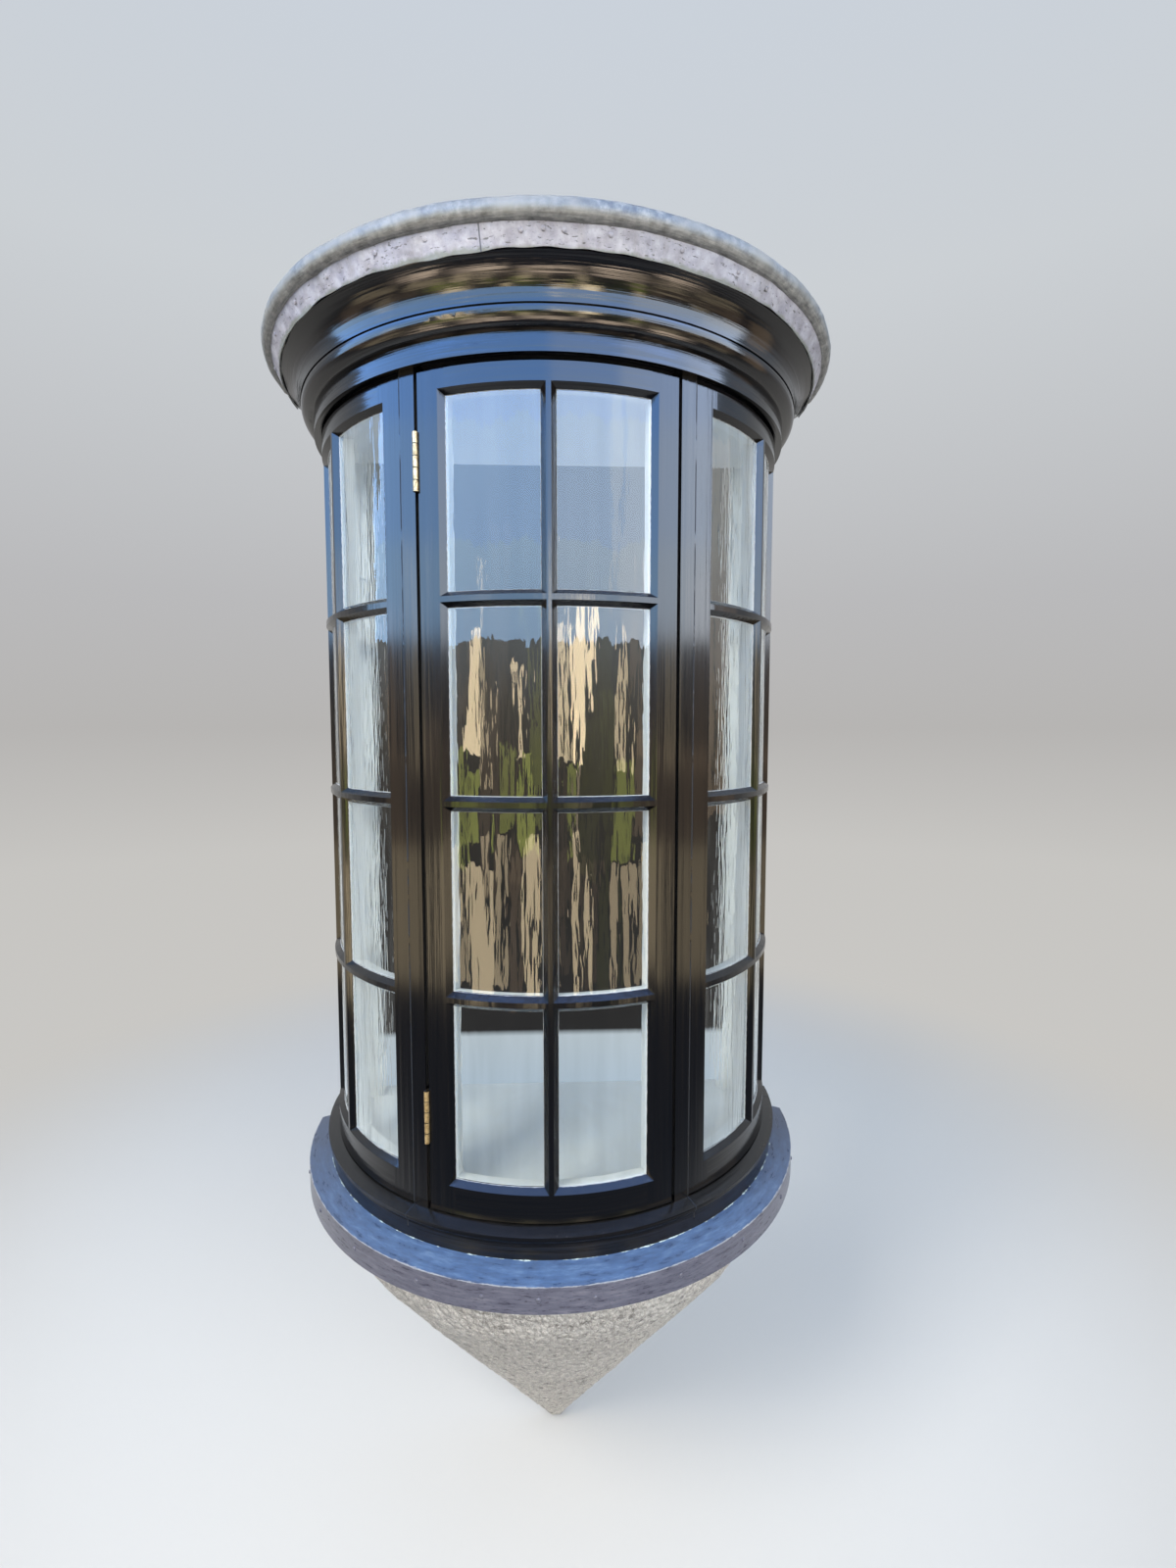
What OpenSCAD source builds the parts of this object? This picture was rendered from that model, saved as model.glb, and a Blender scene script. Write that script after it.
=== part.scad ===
// A small half-round oriel window on a corbel. Three curved lights stand on a curved sill:
// the middle one is a casement, the outer two are fixed. A moulded cornice carries a lead roof.
// Millimetres, +Z up. The wall face is the plane Y = 0 and the window stands out towards -Y.
// The origin lies on the wall face, on the centre line, where the corbel's cone meets its drum.
// Angles are measured round the plan from the middle of the front, positive towards +X.

/* [Plan] */
// Radius of the outer face of the sashes and frame
bay_r = 500; // [440:1:560]
// Thickness of each sash, front to back
sash_t = 44; // [38:1:50]
// Depth of the frame, front to back
frame_t = 90; // [75:1:110]
// Face width of each mullion
mullion_w = 32; // [24:1:50]
// Face width of each post at the wall
wall_post_w = 54; // [35:1:75]
// Open joint beside the casement
casement_gap = 7; // [5:0.5:9]
// Width of the stop that the sashes close against
stop_w = 13; // [8:1:18]

/* [Sashes] */
// Height of each sash
sash_h = 1478; // [1200:1:1700]
// Face width of a stile
stile_w = 40; // [32:1:60]
// Face height of the top rail
top_rail_w = 32; // [26:1:60]
// Face height of the bottom rail
bottom_rail_w = 52; // [40:1:80]
// Panes across each light
pane_columns = 2; // [1:1:3]
// Panes up each light
pane_rows = 4; // [2:1:5]
// Width of the flat face of a glazing bar
bar_face_w = 10; // [6:0.5:16]
// Width of the putty bevel round each pane
putty_w = 9; // [6:0.5:13]
// Depth of the putty bevel, from the face to the glass
putty_d = 12; // [8:0.5:16]
// Width of the bevel on the room side of the bars
inner_bevel_w = 6; // [3:0.5:8]
// Flat left behind the glass before that bevel starts
inner_flat_d = 5; // [3:0.5:10]
// Thickness of the glass
glass_t = 4; // [3:0.5:6]
// Distance from the edge of the glass to the joints of stiles, rails and bars
joint_in = 3; // [1:0.5:6]

/* [Sills] */
// Height of the corbel's drum, below the projecting sill
drum_h = 100; // [60:1:160]
// Height of the projecting sill at its bed
stone_sill_h = 60; // [45:1:90]
// Height of the projecting sill at its front edge
stone_sill_edge_h = 47; // [30:1:60]
// How far the projecting sill stands out past the sashes
stone_sill_out = 63; // [40:1:90]
// Thickness of the lead over the projecting sill
sill_lead_t = 2; // [1.5:0.5:4]
// Width of the drip groove under the projecting sill
throat_w = 9; // [5:1:14]
// Depth of that groove
throat_d = 4.5; // [2:0.5:7]
// Distance from the sill's front edge to that groove
throat_in = 16; // [10:1:24]
// Height of the timber sill at its rebate
timber_sill_h = 53; // [40:1:80]
// How far the timber sill's nose stands out past the sashes
timber_sill_out = 24; // [12:1:34]
// Fall of the timber sill's top to its nose
timber_sill_fall = 6; // [3:0.5:12]
// Height of the upright front edge of the timber sill's nose
nose_edge_h = 7; // [4:0.5:12]
// Height of the slanted underside of that nose
nose_slant_h = 7; // [3:0.5:12]
// How far that slant goes back
nose_slant_d = 6; // [3:1:10]
// Height of the stop at the sill and the head
stop_h = 14; // [8:1:20]
// Clearance under each sash
sash_under_gap = 4; // [2:0.5:6]
// Clearance over each sash
sash_over_gap = 7; // [3:0.5:9]
// Thickness of the window board
window_board_t = 18; // [12:1:30]

/* [Corbel] */
// Radius of the corbel's drum
corbel_r = 500; // [440:1:540]
// Height of the corbel's cone
cone_h = 640; // [450:1:800]
// Radius of the rounded tip
tip_r = 40; // [20:1:80]
// Number of flats that round the tip
tip_steps = 6; // [4:1:12]
// How far the soft knee between cone and drum reaches each way
knee_d = 55; // [20:1:85]
// Number of flats that round the knee
knee_steps = 8; // [4:1:12]

/* [Cornice] */
// Height of the frieze band
frieze_h = 32; // [20:1:60]
// How far the frieze stands out past the sashes
frieze_out = 14; // [8:1:20]
// Radius of the quarter round over the frieze
ovolo_r = 24; // [14:1:30]
// Height of the fillet over the quarter round
fillet_h = 6; // [4:1:12]
// Width and height of the groove between fillet and crown
quirk_w = 2.5; // [1.5:0.5:4]
// How far the crown's foot stands out past the fillet
crown_setback = 1.5; // [0.5:0.5:5]
// Height of the hollow crown moulding
crown_h = 57; // [40:1:80]
// How far the crown moulding flares out
crown_out = 33; // [18:1:40]
// Height of the square edge at the crown's top
crown_edge_h = 6; // [4:1:12]

/* [Roof] */
// Thickness of the roof boards
deck_t = 24; // [18:1:36]
// Thickness of the lead apron
apron_t = 3; // [2:0.5:5]
// How far the apron hangs below the roof boards
apron_drop = 8; // [4:1:14]
// How far the apron leans out from its foot to the roof
apron_lean = 15; // [8:1:20]
// Radius of the rounded lead roll at the edge
roll_r = 16.5; // [13:0.5:22]
// Distance from the apron's foot to the roll's centre
roll_out = 16.5; // [10:0.5:20]
// How far the roll hangs below the top of the roof boards
roll_drop = 2.5; // [1:0.5:6]
// Thickness of the lead roof at its edge
roof_edge_t = 20; // [14:1:26]
// Rise of the roof from its edge to the wall
roof_rise = 16; // [5:1:40]
// Thickness of the ceiling board
ceiling_t = 12; // [9:1:24]

/* [Hinges] */
// Length of each butt hinge
hinge_l = 100; // [75:1:125]
// Height of the lower hinge's middle above the casement's bottom
hinge_low = 174; // [120:1:260]
// Depth of the upper hinge's middle below the casement's top
hinge_high = 146; // [120:1:260]
// Radius of the knuckles
knuckle_r = 4.5; // [3.5:0.25:5]
// Radius of the hinge pin
hinge_pin_r = 3; // [2:0.25:3.25]
// Number of knuckles
knuckles = 5; // [3:2:7]
// Groove between knuckles
knuckle_gap = 0.8; // [0.4:0.1:1.5]
// Clearance between the knuckles and the joinery
knuckle_clear = 0.05; // [0.05:0.05:0.2]
// Thickness of each leaf
leaf_t = 2.4; // [1.5:0.1:3]
// Width of each leaf, into the joint
leaf_w = 30; // [20:1:40]

/* [Fittings] */
// Height of the casement fastener's middle above the casement's bottom
fastener_z = 640; // [400:1:900]
// Height of the fastener's plate
fastener_plate_h = 60; // [40:1:90]
// Width of the fastener's plate
fastener_plate_w = 16; // [12:1:24]
// Thickness of the fittings' plates
plate_t = 2.5; // [1.5:0.5:4]
// Length of the fastener's handle
handle_l = 90; // [60:1:120]
// Thickness of the handle and the stay
handle_t = 7; // [5:0.5:10]
// Length of the stay
stay_l = 250; // [180:1:300]
// Width of the stay's bar
stay_w = 12; // [8:1:18]
// Number of holes in the stay
stay_holes = 5; // [3:1:6]
// Holes of the stay from one peg to the next
peg_spacing = 2; // [1:1:2]
// Radius of the stay's pegs
peg_r = 3; // [2:0.25:4]
// Height of the collar under the stay at each peg
peg_collar_h = 3; // [1:0.5:6]
// Radius of that collar
peg_collar_r = 6; // [4.5:0.5:8]
// Height of each peg from the sill
peg_h = 15; // [12:1:24]
// Radius of the fastener's boss
boss_r = 7; // [4:0.5:8]
// Length of the fastener's boss
boss_l = 16; // [12:1:24]

/* [Hidden] */
$fn = 96;

black = "#16171b";
white = "#e8e6de";
render_grey = "#b5ab9b";
lead = "#8b9097";
slate = "#4d5664";
brass = "#b08d45";
softwood = "#b98a58";
pane_tint = [0.68, 0.85, 0.9, 0.4];

// Overlap of a cutting shape past the face it cuts
past = 1;
// Clearance where small fittings meet the joinery
fit_gap = 0.3;
// A cut through the whole plan reaches this far past the face
beyond = 25;

// The angle that a length takes up on the outer face
function turn(length) = length / bay_r * 180 / PI;
// The point at radius r and angle a of the plan
function plan_at(r, a) = [r * sin(a), -r * cos(a)];

// Radii
sash_r = bay_r - sash_t;
frame_r = bay_r - frame_t;
glass_r = bay_r - putty_d;
stone_sill_r = bay_r + stone_sill_out;
timber_sill_r = bay_r + timber_sill_out;
frieze_r = bay_r + frieze_out;
ovolo_top_r = frieze_r + ovolo_r;
crown_foot_r = ovolo_top_r + crown_setback;
crown_r = crown_foot_r + crown_out;
apron_r = crown_r + apron_t;
roll_centre_r = apron_r + roll_out;

// Heights
cone_tip_z = -cone_h;
stone_sill_z = drum_h;
timber_sill_z = stone_sill_z + stone_sill_h;
sill_top_z = timber_sill_z + timber_sill_h;
sill_stop_z = sill_top_z + stop_h;
nose_z = sill_top_z - timber_sill_fall - nose_edge_h;
board_z = sill_stop_z - window_board_t;
sash_z = sill_top_z + sash_under_gap;
sash_top_z = sash_z + sash_h;
head_z = sash_top_z + sash_over_gap;
head_stop_z = head_z - sash_over_gap - stop_h;
ovolo_z = head_z + frieze_h;
fillet_z = ovolo_z + ovolo_r;
crown_z = fillet_z + fillet_h;
crown_arc_z = crown_z + crown_h;
deck_z = crown_arc_z + crown_edge_h;
roof_z = deck_z + deck_t;
apron_z = deck_z - apron_drop;
roll_z = roof_z + roll_r - roll_drop;
ceiling_z = head_z;
daylight_z = sash_z + bottom_rail_w + putty_w;
daylight_top_z = sash_top_z - top_rail_w - putty_w;

// Angles
post_a = turn(wall_post_w);
mullion_a = turn(mullion_w);
gap_a = turn(casement_gap);
stop_a = turn(stop_w);
light_a = (180 - 2 * post_a - 2 * mullion_a - 2 * gap_a) / 3;
casement_edge_a = light_a / 2;
mullion_near_a = casement_edge_a + gap_a;
mullion_far_a = mullion_near_a + mullion_a;
post_near_a = mullion_far_a + light_a;
side_centre_a = mullion_far_a + light_a / 2;
daylight_a = light_a / 2 - turn(stile_w + putty_w);
joint_a = daylight_a - turn(joint_in);

// Panes: flat bars between them, and a putty bevel round each
pane_open_h = (daylight_top_z - daylight_z + 2 * putty_w - (pane_rows - 1) * bar_face_w) / pane_rows;
pane_open_a = (2 * (daylight_a + turn(putty_w)) - (pane_columns - 1) * turn(bar_face_w)) / pane_columns;
function pane_z(row) = daylight_z + row * (pane_open_h + bar_face_w);
function pane_top_z(row) = pane_z(row) + pane_open_h - 2 * putty_w;
function pane_a(column) = -daylight_a + column * (pane_open_a + turn(bar_face_w));
function pane_end_a(column) = pane_a(column) + pane_open_a - 2 * turn(putty_w);

// How far the hole round a pane widens at radius r, in front of and behind the glass
putty_slope = putty_w / putty_d;
inner_bevel_r = glass_r - glass_t - inner_flat_d;
inner_slope = inner_bevel_w / (inner_bevel_r - sash_r);
front_widening = putty_slope * (putty_d + beyond);
back_widening = inner_slope * (inner_bevel_r - sash_r + beyond);

// The hollow crown is an arc that starts upright at its foot
crown_arc_r = (crown_out * crown_out + crown_h * crown_h) / (2 * crown_out);

// A profile, drawn as radius and height, swept round the plan from angle a0 to a1
module sweep(a0, a1)
    rotate([0, 0, a0 - 90])
        rotate_extrude(angle = a1 - a0)
            children();

// A plain curved block
module arc_block(r0, r1, a0, a1, z0, z1)
    sweep(a0, a1)
        translate([r0, z0])
            square([r1 - r0, z1 - z0]);

// The section of the hole round a pane, looking along the curve
module pane_section(row)
    polygon([
        [sash_r - beyond, pane_z(row) - back_widening],
        [inner_bevel_r, pane_z(row)],
        [glass_r, pane_z(row)],
        [bay_r + beyond, pane_z(row) - front_widening],
        [bay_r + beyond, pane_top_z(row) + front_widening],
        [glass_r, pane_top_z(row)],
        [inner_bevel_r, pane_top_z(row)],
        [sash_r - beyond, pane_top_z(row) + back_widening]
    ]);

// The plan of the hole round a pane
module pane_plan(column)
    polygon([
        plan_at(sash_r - beyond, pane_a(column) - turn(back_widening)),
        plan_at(inner_bevel_r, pane_a(column)),
        plan_at(glass_r, pane_a(column)),
        plan_at(bay_r + beyond, pane_a(column) - turn(front_widening)),
        plan_at(bay_r + beyond, pane_end_a(column) + turn(front_widening)),
        plan_at(glass_r, pane_end_a(column)),
        plan_at(inner_bevel_r, pane_end_a(column)),
        plan_at(sash_r - beyond, pane_end_a(column) + turn(back_widening))
    ]);

// The hole round one pane: bevelled on all four sides, with mitred corners
module pane_hole(column, row)
    intersection() {
        sweep(pane_a(column) - turn(front_widening), pane_end_a(column) + turn(front_widening))
            pane_section(row);
        translate([0, 0, pane_z(row) - beyond])
            linear_extrude(pane_top_z(row) - pane_z(row) + 2 * beyond)
                pane_plan(column);
    }

// The two stiles of a light, each the full height of the sash
module hinge_stile()
    difference() {
        arc_block(sash_r, bay_r, -light_a / 2, -joint_a, sash_z, sash_top_z);
        for (row = [0 : pane_rows - 1])
            pane_hole(0, row);
    }

module lock_stile()
    mirror([1, 0, 0])
        hinge_stile();

// The rails run between the stiles
module bottom_rail()
    difference() {
        arc_block(sash_r, bay_r, -joint_a, joint_a, sash_z, daylight_z + joint_in);
        for (column = [0 : pane_columns - 1])
            pane_hole(column, 0);
    }

module top_rail()
    difference() {
        arc_block(sash_r, bay_r, -joint_a, joint_a, daylight_top_z - joint_in, sash_top_z);
        for (column = [0 : pane_columns - 1])
            pane_hole(column, pane_rows - 1);
    }

// The grid of glazing bars
module bars()
    difference() {
        arc_block(sash_r, bay_r, -joint_a, joint_a,
            daylight_z + joint_in, daylight_top_z - joint_in);
        for (column = [0 : pane_columns - 1], row = [0 : pane_rows - 1])
            pane_hole(column, row);
    }

// Curved panes, one to each hole
module panes()
    for (column = [0 : pane_columns - 1], row = [0 : pane_rows - 1])
        arc_block(glass_r - glass_t, glass_r, pane_a(column), pane_end_a(column),
            pane_z(row), pane_top_z(row));

// The right light is turned round the plan from the middle one, and the left light mirrors it
module right()
    rotate([0, 0, side_centre_a])
        children();

module casement_hinge_stile()
    color(black)
        hinge_stile();

module casement_lock_stile()
    color(black)
        lock_stile();

module casement_top_rail()
    color(black)
        top_rail();

module casement_bottom_rail()
    color(black)
        bottom_rail();

module casement_bars()
    color(black)
        bars();

module casement_glass()
    color(pane_tint)
        panes();

module right_light_stiles()
    color(black)
        right() {
            hinge_stile();
            lock_stile();
        }

module right_light_top_rail()
    color(black)
        right()
            top_rail();

module right_light_bottom_rail()
    color(black)
        right()
            bottom_rail();

module right_light_bars()
    color(black)
        right()
            bars();

module right_light_glass()
    color(pane_tint)
        right()
            panes();

module left_light_stiles()
    mirror([1, 0, 0])
        right_light_stiles();

module left_light_top_rail()
    mirror([1, 0, 0])
        right_light_top_rail();

module left_light_bottom_rail()
    mirror([1, 0, 0])
        right_light_bottom_rail();

module left_light_bars()
    mirror([1, 0, 0])
        right_light_bars();

module left_light_glass()
    mirror([1, 0, 0])
        right_light_glass();

// The corbel: a rounded half cone under a drum, with a core that carries the window board
cone_slope_a = atan(corbel_r / cone_h);
tip_z = cone_tip_z + tip_r;
tip_points = [
    for (step = [0 : tip_steps])
        let (a = 90 - (90 - cone_slope_a) * step / tip_steps)
            [tip_r * cos(a), tip_z - tip_r * sin(a)]
];

// The knee is a smooth curve from the cone to the drum, inside their corner
knee_corner = [corbel_r, 0];
cone_foot = tip_points[tip_steps];
knee_on_cone = knee_corner + knee_d * (cone_foot - knee_corner) / norm(cone_foot - knee_corner);
knee_on_drum = knee_corner + [0, knee_d];
knee_points = [
    for (step = [0 : knee_steps])
        let (t = step / knee_steps)
            (1 - t) * (1 - t) * knee_on_cone + 2 * t * (1 - t) * knee_corner + t * t * knee_on_drum
];

module corbel()
    color(render_grey)
        sweep(-90, 90)
            polygon(concat(
                tip_points,
                knee_points,
                [
                    [corbel_r, stone_sill_z],
                    [frame_r, stone_sill_z],
                    [frame_r, board_z],
                    [0, board_z]
                ]
            ));

module projecting_sill()
    color(slate)
        sweep(-90, 90)
            difference() {
                polygon([
                    [frame_r, stone_sill_z],
                    [stone_sill_r, stone_sill_z],
                    [stone_sill_r, stone_sill_z + stone_sill_edge_h],
                    [timber_sill_r - nose_slant_d, timber_sill_z],
                    [frame_r, timber_sill_z]
                ]);
                translate([stone_sill_r - throat_in - throat_w, stone_sill_z - past])
                    square([throat_w, throat_d + past]);
            }

// Lead dressed over the projecting sill's fall and down its front
module sill_lead()
    color(slate)
        sweep(-90, 90)
            polygon([
                [timber_sill_r - nose_slant_d, timber_sill_z],
                [stone_sill_r, stone_sill_z + stone_sill_edge_h],
                [stone_sill_r, stone_sill_z],
                [stone_sill_r + sill_lead_t, stone_sill_z],
                [stone_sill_r + sill_lead_t, stone_sill_z + stone_sill_edge_h + sill_lead_t],
                [timber_sill_r - nose_slant_d, timber_sill_z + sill_lead_t]
            ]);

module frame_sill()
    color(black)
        sweep(-90, 90)
            polygon([
                [frame_r, timber_sill_z],
                [timber_sill_r - nose_slant_d, timber_sill_z],
                [timber_sill_r - nose_slant_d, nose_z - nose_slant_h],
                [timber_sill_r, nose_z],
                [timber_sill_r, nose_z + nose_edge_h],
                [bay_r, sill_top_z],
                [sash_r, sill_top_z],
                [sash_r, sill_stop_z],
                [frame_r, sill_stop_z]
            ]);

module window_board()
    color(white)
        arc_block(0, frame_r, -90, 90, board_z, sill_stop_z);

// An upright of the frame: its face part from a0 to a1, and a wider stop part behind the sashes
module upright(a0, a1, stop_a0, stop_a1)
    difference() {
        arc_block(frame_r, bay_r, stop_a0, stop_a1, sill_top_z, head_z);
        arc_block(sash_r, bay_r + past, stop_a0 - past, a0, sill_top_z - past, head_z + past);
        if (stop_a1 > a1)
            arc_block(sash_r, bay_r + past, a1, stop_a1 + past, sill_top_z - past, head_z + past);
        arc_block(frame_r - past, sash_r, stop_a0 - past, stop_a1 + past, sill_top_z - past, sill_stop_z);
        arc_block(frame_r - past, sash_r, stop_a0 - past, stop_a1 + past, head_stop_z, head_z + past);
    }

module mullion_right()
    color(black)
        upright(mullion_near_a, mullion_far_a, mullion_near_a - gap_a - stop_a, mullion_far_a + stop_a);

module mullion_left()
    mirror([1, 0, 0])
        mullion_right();

module wall_post_right()
    color(black)
        upright(post_near_a, 90, post_near_a - stop_a, 90);

module wall_post_left()
    mirror([1, 0, 0])
        wall_post_right();

module frame_head()
    color(black)
        sweep(-90, 90)
            polygon([
                [frame_r, head_stop_z],
                [sash_r, head_stop_z],
                [sash_r, head_z],
                [bay_r, head_z],
                [bay_r, deck_z],
                [frame_r, deck_z]
            ]);

module ceiling_board()
    color(white)
        arc_block(0, frame_r, -90, 90, ceiling_z, ceiling_z + ceiling_t);

module frieze()
    color(black)
        arc_block(bay_r, frieze_r, -90, 90, head_z, ovolo_z);

// A convex quarter round under a square fillet
module bed_moulding()
    color(black)
        sweep(-90, 90)
            union() {
                translate([bay_r, ovolo_z])
                    square([frieze_out, ovolo_r]);
                intersection() {
                    translate([frieze_r, fillet_z])
                        circle(r = ovolo_r);
                    translate([frieze_r, ovolo_z])
                        square([ovolo_r + past, ovolo_r]);
                }
                translate([bay_r, fillet_z])
                    square([ovolo_top_r - bay_r, fillet_h - quirk_w]);
                translate([bay_r, fillet_z + fillet_h - quirk_w])
                    square([ovolo_top_r - bay_r - quirk_w, quirk_w]);
            }

// A hollow moulding that starts upright and flares out under the roof
module crown_moulding()
    color(black)
        sweep(-90, 90)
            difference() {
                polygon([
                    [bay_r, crown_z],
                    [crown_r, crown_z],
                    [crown_r, deck_z],
                    [bay_r, deck_z]
                ]);
                intersection() {
                    translate([crown_foot_r + crown_arc_r, crown_z])
                        circle(r = crown_arc_r);
                    translate([crown_foot_r - past, crown_z - past])
                        square([crown_out + 2 * past, crown_h + past]);
                }
            }

// Blocking over the ceiling and the roof boards over the cornice
module roof_deck()
    color(softwood)
        sweep(-90, 90)
            polygon([
                [0, ceiling_z + ceiling_t],
                [frame_r, ceiling_z + ceiling_t],
                [frame_r, deck_z],
                [crown_r, deck_z],
                [crown_r, roof_z],
                [0, roof_z]
            ]);

// The round edge roll, as it is cut from the apron below it
module roll_section()
    translate([roll_centre_r, roll_z])
        circle(r = roll_r);

module lead_apron()
    color(lead)
        sweep(-90, 90)
            difference() {
                polygon([
                    [crown_r, apron_z],
                    [apron_r, apron_z],
                    [apron_r + apron_lean, roof_z],
                    [crown_r, roof_z]
                ]);
                roll_section();
            }

// The lead roof falls to a rounded roll at its edge
module lead_roof()
    color(lead)
        sweep(-90, 90)
            union() {
                polygon([
                    [0, roof_z],
                    [roll_centre_r, roof_z],
                    [roll_centre_r, roof_z + roof_edge_t],
                    [0, roof_z + roof_edge_t + roof_rise]
                ]);
                roll_section();
            }

// A butt hinge in the joint at the casement's left, seen from outside as its knuckles
knuckle_l = hinge_l / knuckles;
knuckle_axis_r = bay_r + sqrt(knuckle_r * knuckle_r - casement_gap * casement_gap / 4) + knuckle_clear;

module leaf(side)
    rotate([0, 0, -(casement_edge_a + gap_a / 2) - side * gap_a / 2])
        translate([side > 0 ? 0 : -leaf_t, -bay_r, 0])
            cube([leaf_t, leaf_w, hinge_l]);

module butt_hinge(z)
    color(brass)
        translate([0, 0, z - hinge_l / 2]) {
            leaf(1);
            leaf(-1);
            translate(plan_at(knuckle_axis_r, -(casement_edge_a + gap_a / 2))) {
                cylinder(r = hinge_pin_r, h = hinge_l);
                for (k = [0 : knuckles - 1])
                    translate([0, 0, k * knuckle_l + knuckle_gap / 2])
                        cylinder(r = knuckle_r, h = knuckle_l - knuckle_gap);
            }
        }

module hinge_upper()
    butt_hinge(sash_top_z - hinge_high);

module hinge_lower()
    butt_hinge(sash_z + hinge_low);

// The fastener: a plate on the lock stile, a boss, a handle that hangs down and a tongue to the mullion
fastener_a = casement_edge_a - turn(stop_w + fastener_plate_w);
fastener_y = -sqrt(sash_r * sash_r - fastener_plate_w * fastener_plate_w / 4);
tongue_l = (mullion_near_a - gap_a - stop_a - fastener_a) / 180 * PI * (sash_r - boss_l) - fit_gap;

module casement_fastener()
    color(brass)
        rotate([0, 0, fastener_a])
            translate([0, fastener_y, sash_z + fastener_z]) {
                translate([-fastener_plate_w / 2, 0, -fastener_plate_h / 2])
                    cube([fastener_plate_w, plate_t, fastener_plate_h]);
                rotate([-90, 0, 0])
                    cylinder(r = boss_r, h = boss_l);
                translate([0, boss_l - handle_t, -handle_t / 2])
                    cube([tongue_l, handle_t, handle_t]);
                translate([-handle_t / 2, boss_l - handle_t, -handle_l])
                    cube([handle_t, handle_t, handle_l]);
            }

// The stay: a flat bar with holes, on a bracket at the bottom rail, laid over two pegs on the sill
stay_end_y = -sqrt(sash_r * sash_r - stay_l * stay_l / 4);
stay_z = sill_stop_z + peg_collar_h;
function stay_hole_x(hole) = -stay_l / 2 + stay_l * (hole + 1) / (stay_holes + 1);

module casement_stay()
    color(brass)
        translate([0, stay_end_y + fit_gap, stay_z])
            difference() {
                union() {
                    translate([-stay_l / 2, stay_w / 2, 0])
                        cube([stay_l, stay_w, plate_t]);
                    translate([-stay_l / 2, 0, 0])
                        cube([stay_w, stay_w, stay_w]);
                }
                for (hole = [0 : stay_holes - 1])
                    translate([stay_hole_x(hole), stay_w, -past])
                        cylinder(r = peg_r + fit_gap, h = plate_t + 2 * past);
            }

module stay_pegs()
    color(brass)
        for (hole = [stay_holes - 1 - peg_spacing, stay_holes - 1])
            translate([stay_hole_x(hole), stay_end_y + fit_gap + stay_w, sill_stop_z]) {
                cylinder(r = peg_collar_r, h = peg_collar_h);
                cylinder(r = peg_r, h = peg_h);
            }

corbel();
projecting_sill();
sill_lead();
frame_sill();
window_board();
mullion_left();
mullion_right();
wall_post_left();
wall_post_right();
frame_head();
casement_hinge_stile();
casement_lock_stile();
casement_top_rail();
casement_bottom_rail();
casement_bars();
casement_glass();
hinge_upper();
hinge_lower();
casement_fastener();
casement_stay();
stay_pegs();
left_light_stiles();
left_light_top_rail();
left_light_bottom_rail();
left_light_bars();
left_light_glass();
right_light_stiles();
right_light_top_rail();
right_light_bottom_rail();
right_light_bars();
right_light_glass();
frieze();
bed_moulding();
crown_moulding();
ceiling_board();
roof_deck();
lead_apron();
lead_roof();
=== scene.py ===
# %% [markdown]
# # A half-round bay window on a corbel
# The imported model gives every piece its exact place. Here it gets its paint, glass, lead and
# render, and the details that are too loose for a drawing: a lead edge that hangs unevenly, a
# ragged line of sealant, nail heads and rough plaster. Metres, Z up, the wall face is Y = 0.

# %% Load the frame
import math
import bpy
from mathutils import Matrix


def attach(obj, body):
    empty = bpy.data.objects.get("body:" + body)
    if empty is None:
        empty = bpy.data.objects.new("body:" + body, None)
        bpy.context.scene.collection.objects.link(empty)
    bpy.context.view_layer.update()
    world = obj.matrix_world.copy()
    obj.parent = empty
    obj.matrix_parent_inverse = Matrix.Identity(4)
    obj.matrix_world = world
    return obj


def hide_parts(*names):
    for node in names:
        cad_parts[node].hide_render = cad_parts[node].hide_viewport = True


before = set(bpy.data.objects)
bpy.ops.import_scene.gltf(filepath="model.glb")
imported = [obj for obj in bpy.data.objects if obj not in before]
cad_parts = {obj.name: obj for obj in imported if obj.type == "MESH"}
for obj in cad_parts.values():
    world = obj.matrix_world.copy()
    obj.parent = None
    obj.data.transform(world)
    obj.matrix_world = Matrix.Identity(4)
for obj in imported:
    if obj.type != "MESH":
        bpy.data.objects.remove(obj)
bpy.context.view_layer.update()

# %% [markdown]
# The window is round in plan, so most sizes are distances from one upright axis at X = Y = 0.
# These repeat the values of the part's source, in metres. R is a radius, Z a height, L a length
# and T a thickness.

# %% Sizes from the part's source
BAY_R = 0.500
SASH_R = 0.456
GLASS_R = 0.488
APRON_Z = 1.819
SILL_R = 0.563
CORBEL_R = 0.500
APRON_R = 0.5755
APRON_LEAN = 0.015
NOSE_R = 0.518
HINGE_LOW_Z = 0.391
HINGE_HIGH_Z = 1.549
HINGE_L = 0.100
KNUCKLES = 5
SILL_BED_Z = 0.100
SILL_TOP_Z = 0.160
ROOF_Z = 1.851
CONE_H = 0.640
print("outer radius of the sashes", BAY_R)

# %% [markdown]
# The camera stands where the photograph was taken: a little under two metres from the wall, at
# the height of the upper panes, with a very wide lens that bends the sills and the cornice into
# strong arcs. The focal length was fitted together with the plan of the window.

# %% Camera
camera_data = bpy.data.cameras.new("camera")
camera_data.sensor_width = 36.0
camera_data.lens = 16.66
camera_data.clip_start = 0.05
camera = bpy.data.objects.new("camera", camera_data)
bpy.context.collection.objects.link(camera)
camera.location = (0.0169, -1.7310, 1.098)
camera.rotation_euler = (math.radians(85.59), 0.0, math.radians(-2.225))
bpy.context.scene.camera = camera
bpy.context.scene.view_settings.view_transform = "Standard"
print("camera at", tuple(round(n, 3) for n in camera.location))

# %% [markdown]
# Every material is a small tree of nodes. This helper adds one node and fills its inputs: a
# plain number or colour is set, and another node's output is linked.

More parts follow.
